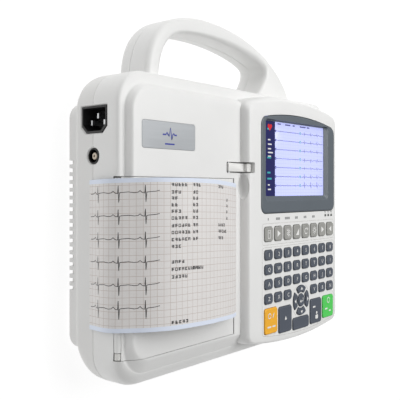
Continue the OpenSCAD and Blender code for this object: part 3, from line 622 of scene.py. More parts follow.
def side_openings():
    """Openings in both side walls, with a chamfer round the mains inlet and the earth terminal."""
    low, high = node_box("earth_terminal")
    mid, z, r = (low[1] + high[1]) / 2, (low[2] + high[2]) / 2, (high[1] - low[1]) / 2
    earth = turned([(-2, r + 1.6), (0.0, r + 1.1), (0.9, r + 0.25), (WALL + 3, r + 0.25)], [0, mid, z], "x")
    inlet = tapered_across_u([inlet_shape(3.1), inlet_shape(2.5), inlet_shape(1.65), inlet_shape(1.65)],
                             [-1, 0, 0.9, WALL + 3])
    found = [earth, inlet]
    for node in ("patient_socket", "network_socket"):
        a, b = node_box(node)
        if node == "patient_socket":
            a, b = a + [0, 2.4, 1.2], b - [0, 2.4, 1.2]
        found.append(block([CASE_W - WALL - 1, a[1] - 0.25, a[2] - 0.25], [CASE_W + 2, b[1] + 0.25, b[2] + 0.25]))
    return found


def key_caps():
    """Every key's cap as (node, centre, size), read from the frame."""
    flange = 0.8
    caps = []
    first, second = (np.mean(node_box(f"function_key_{k}"), axis=0) for k in (1, 2))
    pitch = second[0] - first[0]
    for k in range(1, 9):
        low, high = node_box(f"function_key_{k}")
        caps.append((f"function_key_{k}", (low + high)[:2] / 2, (high - low)[:2] - 2 * flange))
    for k in range(1, 5):
        low, high = node_box(f"letter_row_{k}")
        size = np.array([high[0] - low[0] - 7 * pitch, high[1] - low[1]]) - 2 * flange
        for column in (range(8) if k < 4 else (0, 1, 2, 5, 6, 7)):
            caps.append((f"letter_row_{k}", np.array([first[0] + column * pitch, (low[1] + high[1]) / 2]), size))
    for node in ("cancel_key", "shift_key", "space_key", "copy_key", "start_key"):
        low, high = node_box(node)
        caps.append((node, (low + high)[:2] / 2, (high - low)[:2] - 2 * flange))
    return caps


ARROW_OUT, ARROW_IN, ENTER_R, ARROW_HALF = 14.1, 7.9, 6.0, 37.0
ARROW_TURNS = {"arrow_up_key": 90, "arrow_left_key": 180, "arrow_right_key": 0, "arrow_down_key": -90}


def arrow_centre():
    low, high = node_box("enter_key")
    return (low + high)[:2] / 2


def sector(turn, grow, soft=1.4, count=14):
    """Ring sector with round corners: two arcs and a small arc at each corner, round the cluster's centre."""
    ro, ri, half = ARROW_OUT + grow, ARROW_IN - grow, ARROW_HALF
    shift = grow / math.sin(math.radians(half))
    a = math.radians(half)

    def edge_angle(radius, inset):
        """Angle by which a side, a ray at the half angle moved out by the growth, is inset on the circle."""
        side = shift * math.sin(a)
        return a + math.asin((side - inset) / radius)

    outer = edge_angle(ro - soft, soft)
    inner = edge_angle(ri + soft, soft)
    deg = math.degrees
    parts = [arc(0, 0, ro, -deg(outer), deg(outer), count)]
    centre = np.array([math.cos(outer), math.sin(outer)]) * (ro - soft)
    parts.append(arc(*centre, soft, deg(outer), half + 90, 5))
    centre = np.array([math.cos(inner), math.sin(inner)]) * (ri + soft)
    parts.append(arc(*centre, soft, half + 90, deg(inner) + 180, 5))
    parts.append(arc(0, 0, ri, deg(inner), -deg(inner), count))
    centre = np.array([math.cos(inner), -math.sin(inner)]) * (ri + soft)
    parts.append(arc(*centre, soft, 180 - deg(inner), 270 - half, 5))
    centre = np.array([math.cos(outer), -math.sin(outer)]) * (ro - soft)
    parts.append(arc(*centre, soft, 270 - half, 360 - deg(outer), 5))
    outline = np.concatenate(parts)
    keep = np.linalg.norm(outline - np.roll(outline, 1, axis=0), axis=1) > 1e-4
    c, s = math.cos(math.radians(turn)), math.sin(math.radians(turn))
    return outline[keep] @ np.array([[c, s], [-s, c]]) + arrow_centre()


def key_openings(gap=0.4):
    """Prisms through the island's skin, one for each key."""
    z0, z1 = ISLAND_Z - WALL - 2, ISLAND_Z + 3
    found = []
    for _, centre, size in key_caps():
        half = size / 2 + gap
        found.append(prism(rounded_outline(centre[0] - half[0], centre[0] + half[0], centre[1] - half[1],
                                           centre[1] + half[1], 2.6, corner=6), z0, z1))
    for turn in ARROW_TURNS.values():
        found.append(prism(sector(turn, gap), z0, z1))
    found.append(turned([(z0, ENTER_R + gap), (z1, ENTER_R + gap)], [*arrow_centre(), 0], "z"))
    return join(found)


def bezel_outline(grow, side=22):
    """Outline of the screen's panel, with a bowed rear edge."""
    low, high = node_box("screen_frame")
    outline = rounded_outline(low[0] - grow, high[0] + grow, low[1] - grow, high[1] + grow, 7 + grow,
                              side=side, corner=9)
    return bowed(outline, low[0] + 0.46 * (high[0] - low[0]), None, 340)


def nameplate_outline(grow):
    low, high = node_box("nameplate")
    return rounded_outline(low[0] - grow, high[0] + grow, low[1] - grow, high[1] + grow, 2 + grow, corner=6)


def posts_and_wells():
    """Solid material under the latch and the island's left edge, inside the upper shell."""
    low, high = node_box("door_latch")
    return [block([low[0] - 2, low[1] - 2.7, PLATEAU_Z - 6.1], [high[0] - 2, high[1] + 2.7, PLATEAU_Z - 0.6]),
            block([ISLAND_FOOT + 3.2, low[1] - 27, PLATEAU_Z - 6.1], [high[0] + 3.5, high[1] + 2.7, ISLAND_Z - 2])]


class RECORDER_OT_upper_shell(bpy.types.Operator):
    """The upper shell: shoulder, plateau and island in one moulding, with its openings"""
    bl_idname = "recorder.upper_shell"
    bl_label = "Upper shell"

    def execute(self, context):
        groove = context.scene.recorder_case.seam_groove
        keys = seam_rows(CASE_KEYS, groove, upper=True)
        shell = make_object("upper_shell", *body_solid(keys, case_ring, 0, 5), Finishes.get("case_white"))
        combine(shell, "UNION", body_solid(ISLAND_KEYS, island_ring, 0, 6))
        inner = np.copy(CASE_KEYS)
        combine(shell, "DIFFERENCE", body_solid(inner, case_ring, WALL, 3, first=SEAM_Z - 2),
                body_solid(ISLAND_KEYS, island_ring, WALL, 3))
        combine(shell, "UNION", *posts_and_wells())
        low, high = node_box("door_latch")
        pocket = prism(rounded_outline(low[0] - 1, high[0] + 1, low[1] - 1.2, high[1] + 1.2, 1.2, corner=5),
                       PLATEAU_Z - 4.6, ISLAND_Z + 5)
        scoop = [(11 * math.sin(a), max(11 * math.cos(a), 0.05)) for a in np.linspace(-math.pi / 2, math.pi / 2, 25)]
        points, faces = turned(scoop, [0, 0, 0], "y", 32)
        points = points * [0.5, 1.0, 0.45] + [ISLAND_FOOT + 1.2, low[1] - 13, PLATEAU_Z + 3]
        b_low, b_high = node_box("screen_frame")
        bed = prism(bezel_outline(0.45), b_low[2] - 0.2, ISLAND_Z + 4)
        well = block([b_low[0] + 4, b_low[1] + 4, ISLAND_Z - 12], [b_high[0] - 4, b_high[1] - 10, ISLAND_Z + 2])
        plate = prism(nameplate_outline(0.25), node_box("nameplate")[0][2] - 0.05, PLATEAU_Z + 4)
        l_low, l_high = node_box("status_lights")
        lamp_r = (l_high[1] - l_low[1]) / 2
        lamps = join([turned([(ISLAND_Z - 5, lamp_r + 0.15), (ISLAND_Z + 3, lamp_r + 0.15)],
                             [l_low[0] + lamp_r + 6 * k, (l_low[1] + l_high[1]) / 2, 0], "z", 24) for k in range(3)])
        combine(shell, "DIFFERENCE", *door_space(0.4), pocket, (points, faces), key_openings(), bed, well, plate,
                lamps, *side_openings())
        crisp(shell)
        place(shell, "case", "case_white", "upper_case")
        return {"FINISHED"}


class RECORDER_OT_lower_shell(bpy.types.Operator):
    """The lower shell with its base block, cooling slots and screw holes"""
    bl_idname = "recorder.lower_shell"
    bl_label = "Lower shell"

    def execute(self, context):
        groove = context.scene.recorder_case.seam_groove
        keys = seam_rows(LOWER_KEYS, groove, upper=False)
        shell = make_object("lower_shell", *body_solid(keys, case_ring, 0, 5), Finishes.get("case_lower"))
        base = [ring(rounded_outline(2 + i, CASE_W - 2 - i, 24 + i, CASE_D - 22 - i, 12 - i, side=2, corner=12), z)
                for i, z in ((1.5, BASE_Z), (0.55, BASE_Z + 0.35), (0.12, BASE_Z + 0.9), (0, BASE_Z + 1.6),
                             (0, SHELL_Z + 2))]
        combine(shell, "UNION", loft(base))
        t = WALL
        hollow = np.copy(LOWER_KEYS)
        hollow[:, 0] += 2 * t
        room = [ring(rounded_outline(2 + t, CASE_W - 2 - t, 24 + t, CASE_D - 22 - t, 12 - t, side=2, corner=12), z)
                for z in (BASE_Z + t, SHELL_Z + t + 2)]
        combine(shell, "DIFFERENCE", body_solid(hollow, case_ring, t, 3), loft(room))
        posts = [(16, 16), (16, CASE_D - 16), (134, 20), (134, CASE_D - 17)]
        tubes = [turned([(SHELL_Z + 2.2, 4), (SEAM_Z - 0.3, 4)], [u, w, 0], "z", 28) for u, w in posts]
        combine(shell, "UNION", join(tubes))
        bores = [turned([(SHELL_Z - 3, 2.8), (SEAM_Z - 9, 2.8)], [u, w, 0], "z", 28) for u, w in posts]
        right = [turned([(BASE_Z - 2, 2.8), (BASE_Z + 4, 2.8)], [CASE_W - 6.2, w, 0], "z", 28) for w in (34, 178.5)]
        slots = []
        for side_u in (-1.0, CASE_W - 6):
            for k in range(17):
                w = 70 + 6 * k
                outline = np.concatenate([[[w, BASE_Z - 1], [w + 3, BASE_Z - 1]],
                                          arc(w + 1.5, SHELL_Z - 5, 1.49, 0, 180, 9)])
                slots.append(across_u(outline, side_u, side_u + 7))
        c_low, c_high = node_box("battery_cover")
        cover = block([c_low[0] + 2.7, c_low[1] + 2.7, BASE_Z - 1],
                      [c_high[0] - 2.7, c_high[1] - 2.7, BASE_Z + t + 1])
        s_low, s_high = node_box("speaker")
        mid = (s_low + s_high) / 2
        grille = [turned([(BASE_Z - 1, 1.6), (BASE_Z + t + 1, 1.6)],
                         [mid[0] + 8 * math.cos(a), mid[1] + 8 * math.sin(a), 0], "z", 16)
                  for a in np.linspace(0, 2 * np.pi, 6, endpoint=False)]
        combine(shell, "DIFFERENCE", join(bores + right), join(slots), cover, join(grille), *side_openings())
        crisp(shell)
        place(shell, "case", "case_lower", "lower_case")
        return {"FINISHED"}


def bezier(a, b, c, d, count):
    """Points on a cubic curve with four control points."""
    t = np.linspace(0, 1, count)[:, None]
    return (1 - t) ** 3 * np.array(a) + 3 * (1 - t) ** 2 * t * np.array(b) \
        + 3 * (1 - t) * t ** 2 * np.array(c) + t ** 3 * np.array(d)


def resampled(points, count):
    """The polyline's points spaced evenly along its length."""
    points = np.asarray(points, float)
    s = np.concatenate([[0], np.cumsum(np.linalg.norm(np.diff(points, axis=0), axis=1))])
    t = np.linspace(0, s[-1], count)
    return np.stack([np.interp(t, s, points[:, k]) for k in range(points.shape[1])], -1)


class RECORDER_OT_handle(bpy.types.Operator):
    """The carrying handle: a soft-edged grip swept between its outer and its inner curve"""
    bl_idname = "recorder.handle"
    bl_label = "Carrying handle"

    def execute(self, context):
        settings = context.scene.recorder_case
        from_left, rear = 37.0, CASE_D
        parts = (26, 40, 30)
        outer = np.concatenate([
            resampled(bezier([0.0, -1.8], [0.1, 31], [19, 55], [73, 55], 40), parts[0])[:-1],
            resampled(bezier([73.0, 55], [133, 55], [185, 35], [204, -1.8], 60), parts[1] + parts[2])])
        inner = np.concatenate([
            resampled(bezier([15.0, -2], [15.4, 26], [28, 38], [51, 39.6], 40), parts[0])[:-1],
            resampled(bezier([51.0, 39.6], [88, 43.6], [131, 37.6], [155, 29], 40), parts[1] + 1)[:-1],
            resampled(bezier([155.0, 29], [166, 24.6], [162, 17], [145, -2], 40), parts[2])])
        count = min(len(outer), len(inner))
        outer, inner = outer[:count], inner[:count]
        up, down = 20.0, 13.0
        top, bottom = SEAM_Z + up - 0.05, SEAM_Z - down + 0.05
        r, g = settings.grip_rounding, settings.seam_groove
        mid_z = (top + bottom) / 2
        half_z = (top - bottom) / 2
        corner = 8
        a = np.linspace(0, np.pi / 2, corner)
        # section: outer side upwards, over the top, inner side downwards, under the bottom
        rings = []
        for o, i in zip(outer, inner):
            across = o - i
            width = np.linalg.norm(across)
            d = across / width
            h = width / 2
            rr = min(r, h - 0.5)
            xs = [h, h, h - g, h, h]
            zs = [SEAM_Z - 3, SEAM_Z - 0.4, SEAM_Z, SEAM_Z + 0.4, SEAM_Z + 3]
            xs += list(h - rr + rr * np.cos(a))
            zs += list(mid_z + half_z - rr + rr * np.sin(a))
            xs += list(-(h - rr) - rr * np.sin(a))
            zs += list(mid_z + half_z - rr + rr * np.cos(a))
            xs += [-h, -h, -h + g, -h, -h]
            zs += [SEAM_Z + 3, SEAM_Z + 0.4, SEAM_Z, SEAM_Z - 0.4, SEAM_Z - 3]
            xs += list(-(h - rr) - rr * np.cos(a))
            zs += list(mid_z - half_z + rr - rr * np.sin(a))
            xs += list(h - rr + rr * np.sin(a))
            zs += list(mid_z - half_z + rr - rr * np.cos(a))
            xs = np.array(xs)
            centre = (o + i) / 2
            rings.append(np.column_stack([from_left + centre[0] + d[0] * xs, rear + centre[1] + d[1] * xs, zs]))
        grip = make_object("carry_handle", *loft(np.array(rings)[:, ::-1]), Finishes.get("case_white"))
        place(grip, "case", "case_white")
        return {"FINISHED"}


class RECORDER_OT_door(bpy.types.Operator):
    """The printer door: the part of the upper shell over the paper, with its hinge barrel and its ears"""
    bl_idname = "recorder.door"
    bl_label = "Printer door"

    def execute(self, context):
        door = make_object("door_skin", *body_solid(CASE_KEYS, case_ring, 0, 5), Finishes.get("case_white"))
        combine(door, "DIFFERENCE", body_solid(CASE_KEYS, case_ring, WALL, 3, first=SEAM_Z - 2))
        opening, _ = door_space(0.0)
        combine(door, "INTERSECT", opening)
        barrel_in = 5.6
        w0, w1 = DOOR_LOW[1], DOOR_HIGH[1]
        clear = turned([(w0 - 1, BARREL_R), (w1 + 1, BARREL_R)], [HINGE_U, 0, HINGE_Z], "y")
        corner = block([-5, w0 - 1, HINGE_Z - 1], [HINGE_U, w1 + 1, HINGE_Z + 9])
        barrel = turned([(w0 + barrel_in, BARREL_R - 0.4), (w0 + barrel_in + 0.4, BARREL_R),
                         (w1 - barrel_in - 0.4, BARREL_R), (w1 - barrel_in, BARREL_R - 0.4)],
                        [HINGE_U, 0, HINGE_Z], "y")
        combine(door, "DIFFERENCE", clear, corner)
        combine(door, "UNION", barrel)
        p_low, p_high = node_box("platen_roller")
        mid = (p_low + p_high) / 2
        ears = []
        for w in (p_low[1] + 0.6, p_high[1] - 0.2 - 1.6):
            a = arc(mid[0], mid[2], 4.0, 180, 360, 15)
            under = PLATEAU_Z - WALL + 0.4
            outline = np.concatenate([a, [[mid[0] + 4, under], [mid[0] - 4, under]]])
            ears.append(loft([np.column_stack([outline[:, 0], np.full(len(outline), y), outline[:, 1]])[::-1]
                              for y in (w, w + 1.6)]))
        combine(door, "UNION", join(ears))
        bore = turned([(p_low[1] - 2, 1.55), (p_high[1] + 2, 1.55)], [mid[0], 0, mid[2]], "y", 28)
        combine(door, "DIFFERENCE", bore)
        crisp(door)
        place(door, "door", "case_white", "printer_door")
        return {"FINISHED"}


# ---------------------------------------------------------------- keys and panel

def cap_solid(outline_of, z0, z1, edge):
    """A key cap: straight sides, a quarter-round upper edge and a sunk crown; outline_of takes an inset."""
    a = np.linspace(0, np.pi / 2, 6)
    rows = [(0.0, z0), (0.0, z1 - edge - 0.3)]
    rows += [(edge * (1 - math.cos(t)), z1 - edge * (1 - math.sin(t))) for t in a]
    rows += [(edge + 0.7, z1 - 0.01), (edge + 1.3, z1 - 0.1), (edge + 2.0, z1 - 0.14)]
    return loft([ring(outline_of(i), z) for i, z in rows])


def key_slot(node):
    for entry in frame["record"]["subparts"]:
        if entry["node"] == node:
            return entry["material_slot"]
    raise ValueError(f"no slot for {node}")


class RECORDER_OT_keys(bpy.types.Operator):
    """Every key's rubber cap, with the arrow keys round the enter key"""
    bl_idname = "recorder.keys"
    bl_label = "Keys"

    def execute(self, context):
        edge = context.scene.recorder_keys.edge
        groups = {}
        for node, centre, size in key_caps():
            low, high = node_box(node)

            def outline(inset, c=centre, h=size / 2):
                return rounded_outline(c[0] - h[0] + inset, c[0] + h[0] - inset, c[1] - h[1] + inset,
                                       c[1] + h[1] - inset, max(2.7 - inset, 0.4), side=3, corner=7)

            groups.setdefault(node, []).append(cap_solid(outline, low[2], high[2], edge))
        for node, turn in ARROW_TURNS.items():
            low, high = node_box(node)
            groups[node] = [cap_solid(lambda inset, t=turn: sector(t, -inset * 0.9, max(1.4 - inset, 0.25)),
                                      low[2], high[2], edge)]
        low, high = node_box("enter_key")
        middle = arrow_centre()
        groups["enter_key"] = [cap_solid(lambda inset: arc(*middle, ENTER_R - inset, 0, 352.5, 48),
                                         low[2], high[2], edge)]
        for node, solids in groups.items():
            slot = key_slot(node)
            cap = make_object(f"{node}_cap", *join(solids), Finishes.get(slot), 50)
            place(cap, node, slot, node)
        return {"FINISHED"}


def distinct(path):
    """The path without repeated points."""
    path = np.asarray(path, float)
    keep = np.ones(len(path), bool)
    keep[1:] = np.linalg.norm(np.diff(path, axis=0), axis=1) > 1e-6
    return path[keep]


def ribbon(path, width, closed=False):
    """Flat band along a path in the plane: each point moved half the width along the normal, to either side."""
    path = np.asarray(path, float)
    if closed:
        tangent = np.roll(path, -1, axis=0) - np.roll(path, 1, axis=0)
    else:
        tangent = np.gradient(path, axis=0)
    tangent /= np.maximum(np.linalg.norm(tangent, axis=1), 1e-9)[:, None]
    normal = np.stack([-tangent[:, 1], tangent[:, 0]], -1)
    return path - normal * width / 2, path + normal * width / 2


def raised_band(path, width, z, height, closed=False):
    """Closed low band along a path in the plane, with a bevelled top."""
    right, left = ribbon(path, width, closed)
    right_top, left_top = ribbon(path, width * 0.6, closed)
    rows = [ring(right, z - 0.05), ring(left, z - 0.05), ring(left_top, z + height), ring(right_top, z + height)]
    count = len(path)
    points = np.stack(rows, 1).reshape(-1, 3)
    faces = lattice(count, 4, close=True)
    if closed:
        k = np.arange(4)
        last, first = (count - 1) * 4 + k, k
        faces = np.concatenate([faces, np.stack([last, np.roll(last, -1), np.roll(first, -1), first], -1)])
        return points, faces[:, ::-1].tolist()
    faces = faces[:, ::-1].tolist()
    return points, faces + [[0, 1, 2, 3], [(count - 1) * 4 + k for k in (3, 2, 1, 0)]]


class RECORDER_OT_panel_lines(bpy.types.Operator):
    """The two raised outlines round the function keys and round the letter keys"""
    bl_idname = "recorder.panel_lines"
    bl_label = "Keypad outlines"

    def execute(self, context):
        f_low, f_high = node_box("function_key_1")
        u0, u1 = f_low[0] - 2.2, node_box("function_key_8")[1][0] + 1.6
        upper = rounded_outline(u0, u1, f_low[1] - 2.2, f_high[1] + 2.2, 3, side=10, corner=7)
        rear = node_box("letter_row_1")[1][1]
        front = node_box("cancel_key")[0][1]
        lower = rounded_outline(u0, u1, front - 5.0, rear + 1.6, 3, side=30, corner=7)
        lower = bowed(lower, ISLAND_MID + 8, 400, None)
        bands = [raised_band(o, 0.55, ISLAND_Z, 0.12, closed=True) for o in (upper, lower)]
        ring_arcs = []
        for turn in (45, 135, 225, 315):
            path = arc(*arrow_centre(), ARROW_OUT + 1.8, turn - 12, turn + 12, 12)
            ring_arcs.append(raised_band(path, 0.5, ISLAND_Z, 0.15))
        lines_piece = make_object("keypad_outlines", *join(bands + ring_arcs), Finishes.get("panel_line"), 60)
        place(lines_piece, "case", "case_white")
        return {"FINISHED"}


def text_piece(name, words, material, body, slot):
    """Flat generic characters, each given as (text, centre, height, z), made one mesh."""
    solids = []
    for text, centre, height, z in words:
        curve = bpy.data.curves.new("glyph", "FONT")
        curve.body = text
        curve.size = height
        curve.align_x, curve.align_y = "CENTER", "CENTER"
        curve.resolution_u = 2
        glyph = bpy.data.objects.new("glyph", curve)
        bpy.context.scene.collection.objects.link(glyph)
        bpy.context.view_layer.update()
        mesh = bpy.data.meshes.new_from_object(glyph.evaluated_get(bpy.context.evaluated_depsgraph_get()))
        points = np.zeros(len(mesh.vertices) * 3)
        mesh.vertices.foreach_get("co", points)
        points = points.reshape(-1, 3)
        points[:, 2] = z
        points[:, 0] += centre[0]
        points[:, 1] += centre[1]
        solids.append((points, [list(p.vertices) for p in mesh.polygons]))
        bpy.data.objects.remove(glyph)
    piece = make_object(name, *join(solids), Finishes.get(material))
    return place(piece, body, slot)


def flat(points, z):
    """One flat face from its corners in the plane."""
    points = np.asarray(points, float)
    return ring(points, z), [list(range(len(points)))]


def icon(k, c, z):
    """Generic symbols for the function keys: sheet, pulse, wave, ramp, turn, gear, forward and back."""
    u, w = c

    def band(path, width=0.8):
        right, left = ribbon(np.asarray(path, float) + [u, w], width)
        points = np.concatenate([ring(right, z), ring(left, z)])
        n = len(right)
        return points, [[i, i + 1, n + i + 1, n + i] for i in range(n - 1)]

    if k == 0:
        return join([band([[-2, -3.5], [2, -3.5], [2, 3.5], [-2, 3.5], [-2, -3.5]]), band([[-0.8, 1.2], [0.8, 1.2]])])
    if k == 1:
        return join([flat(np.array([[-2.6, -3], [2.6, 0], [-2.6, 3]]) + [u, w], z)])
    if k == 2:
        t = np.linspace(-3.4, 3.4, 24)
        return join([band(np.stack([1.5 * np.sin(t * 1.8) + s, t], -1)) for s in (-1.3, 1.3)])
    if k == 3:
        return join([flat(np.array([[-3, -3.2], [3, -3.2], [3, 3.2]]) + [u, w], z)])
    if k == 4:
        tip = np.array([[1, 0.4], [4, 1.6], [1.6, 3.6]]) + [u, w]
        return join([band(arc(0, 0, 2.6, 40, 320, 20), 0.9), flat(tip, z)])
    if k == 5:
        return join([band(arc(0, 0, 1.7, 0, 360, 20), 0.8)]
                    + [band([[2.4 * math.cos(a), 2.4 * math.sin(a)], [3.6 * math.cos(a), 3.6 * math.sin(a)]])
                       for a in np.linspace(0, 2 * np.pi, 8, endpoint=False)])
    if k == 6:
        return flat(np.array([[-2.2, -3], [2.6, 0], [-2.2, 3]]) + [u, w], z)
    return flat(np.array([[2.2, 3], [-2.6, 0], [2.2, -3]]) + [u, w], z)


LETTER_ROWS = ("12345678", "QWERTYUI", "ASDFGHJK", "ZXCVBN")


class RECORDER_OT_legends(bpy.types.Operator):
    """Plain letters, digits and symbols printed on the keys"""
    bl_idname = "recorder.legends"
    bl_label = "Key legends"

    def execute(self, context):
        rows = {}
        for node, centre, _ in key_caps():
            z = node_box(node)[1][2] + PRINT_LIFT
            rows.setdefault(node, []).append((centre, z))
        for k in range(1, 5):
            node = f"letter_row_{k}"
            words = [(LETTER_ROWS[k - 1][i], c, 5.2, z) for i, (c, z) in enumerate(rows[node])]
            text_piece(f"{node}_legends", words, "legend_white", node, "key_light")
        for k in range(1, 9):
            node = f"function_key_{k}"
            centre, z = rows[node][0]
            piece = make_object(f"{node}_symbol", *icon(k - 1, centre, z), Finishes.get("legend_white"))
            place(piece, node, "key_light")
        for node, turn in ARROW_TURNS.items():
            high = node_box(node)[1]
            a = math.radians(turn)
            middle = arrow_centre() + np.array([math.cos(a), math.sin(a)]) * (ARROW_OUT + ARROW_IN) / 2
            tip = np.array([[1.7, 0], [-1.0, 2.1], [-1.0, -2.1]])
            tip = tip @ np.array([[math.cos(a), math.sin(a)], [-math.sin(a), math.cos(a)]]) + middle
            piece = make_object(f"{node}_symbol", *flat(tip, high[2] + PRINT_LIFT), Finishes.get("legend_white"))
            place(piece, node, "key_light")
        centre, high = arrow_centre(), node_box("enter_key")[1]
        right, left = ribbon(np.array([[2.4, 2.2], [2.4, -1.0], [-1.4, -1.0]]) + centre, 0.8)
        hook = np.concatenate([ring(right, high[2] + PRINT_LIFT), ring(left, high[2] + PRINT_LIFT)])
        bend = (hook, [[0, 1, 4, 3], [1, 2, 5, 4]])
        tip = flat(np.array([[-1.2, -2.7], [-1.2, 0.7], [-3.2, -1.0]]) + centre, high[2] + PRINT_LIFT)
        piece = make_object("enter_key_symbol", *join([bend, tip]), Finishes.get("legend_white"))
        place(piece, "enter_key", "key_light")
        for node in ("cancel_key", "start_key", "copy_key", "shift_key"):
            centre, z = rows[node][0]
            marks = []
            if node == "start_key":
                marks.append(_loop(arc(centre[0] + 0.5, centre[1] + 6, 2.6, 0, 345, 24), z))
            if node == "cancel_key":
                marks.append(_loop(arc(centre[0] - 3, centre[1] + 4.6, 2.2, 0, 345, 24), z))
                marks.append(flat(np.array([[1.6, 2.6], [2.6, 2.2], [4.6, 6.4], [3.6, 6.8]]) + centre, z))
            if node == "copy_key":
                marks.append(flat(rounded_outline(centre[0] - 1.5, centre[0] + 3.5, centre[1] - 8, centre[1] - 4, 0.8,
                                                  corner=4), z))
                marks.append(flat(arc(centre[0] + 1, centre[1] - 2, 1.4, 0, 345, 20), z))
            if node == "shift_key":
                marks.append(flat(np.array([[-1.8, -0.5], [1.8, -0.5], [0, 3]]) + centre, z))
            widths = {"cancel_key": (6, 5), "start_key": (5, 4), "copy_key": (5,), "shift_key": ()}[node]
            level = {"cancel_key": -6, "start_key": -3, "copy_key": 3.5, "shift_key": 0}[node]
            for i, w in enumerate(widths):
                x = centre[0] + (-6.5 if i == 0 else 1.5)
                y = centre[1] + level - 2.6 * i * (node == "start_key")
                marks.append(flat(rounded_outline(x, x + w, y, y + 1.5, 0.5, corner=3), z))
            piece = make_object(f"{node}_symbol", *join(marks), Finishes.get("legend_white"))
            place(piece, node, "key_light")
        return {"FINISHED"}


def _loop(path, z, width=0.8):
    """Flat open ring along a path."""
    right, left = ribbon(distinct(path), width)
    n = len(right)
    return np.concatenate([ring(right, z), ring(left, z)]), [[i, i + 1, n + i + 1, n + i] for i in range(n - 1)]


class RECORDER_OT_panel_marks(bpy.types.Operator):
    """Small plain marks printed between the screen and the function keys"""
    bl_idname = "recorder.panel_marks"
    bl_label = "Panel marks"

    def execute(self, context):
        z = ISLAND_Z + PRINT_LIFT
        low, _ = node_box("screen_frame")
        level = low[1] - 5.2
        marks = []
        for k in range(6):
            centre = (node_box(f"function_key_{k + 1}")[0] + node_box(f"function_key_{k + 1}")[1]) / 2
            count = (1, 4, 5, 3, 3, 3)[k]
            for i in range(count):
                u = centre[0] + 1.75 * (i - (count - 1) / 2)
                marks.append(flat(rounded_outline(u - 0.6, u + 0.6, level - 1.2, level + 1.2, 0.4, corner=3), z))
        l_low, l_high = node_box("status_lights")
        for k in range(3):
            u = l_low[0] + 1.2 + 6 * k
            w = l_high[1] + 3.2
            marks.append(_loop(arc(u, w, 1.5, 10 + 80 * k, 330 + 80 * k, 18), z, 0.7))
        piece = make_object("panel_marks", *join(marks), Finishes.get("legend_grey"))
        place(piece, "case", "case_white")
        return {"FINISHED"}


# ---------------------------------------------------------------- screen

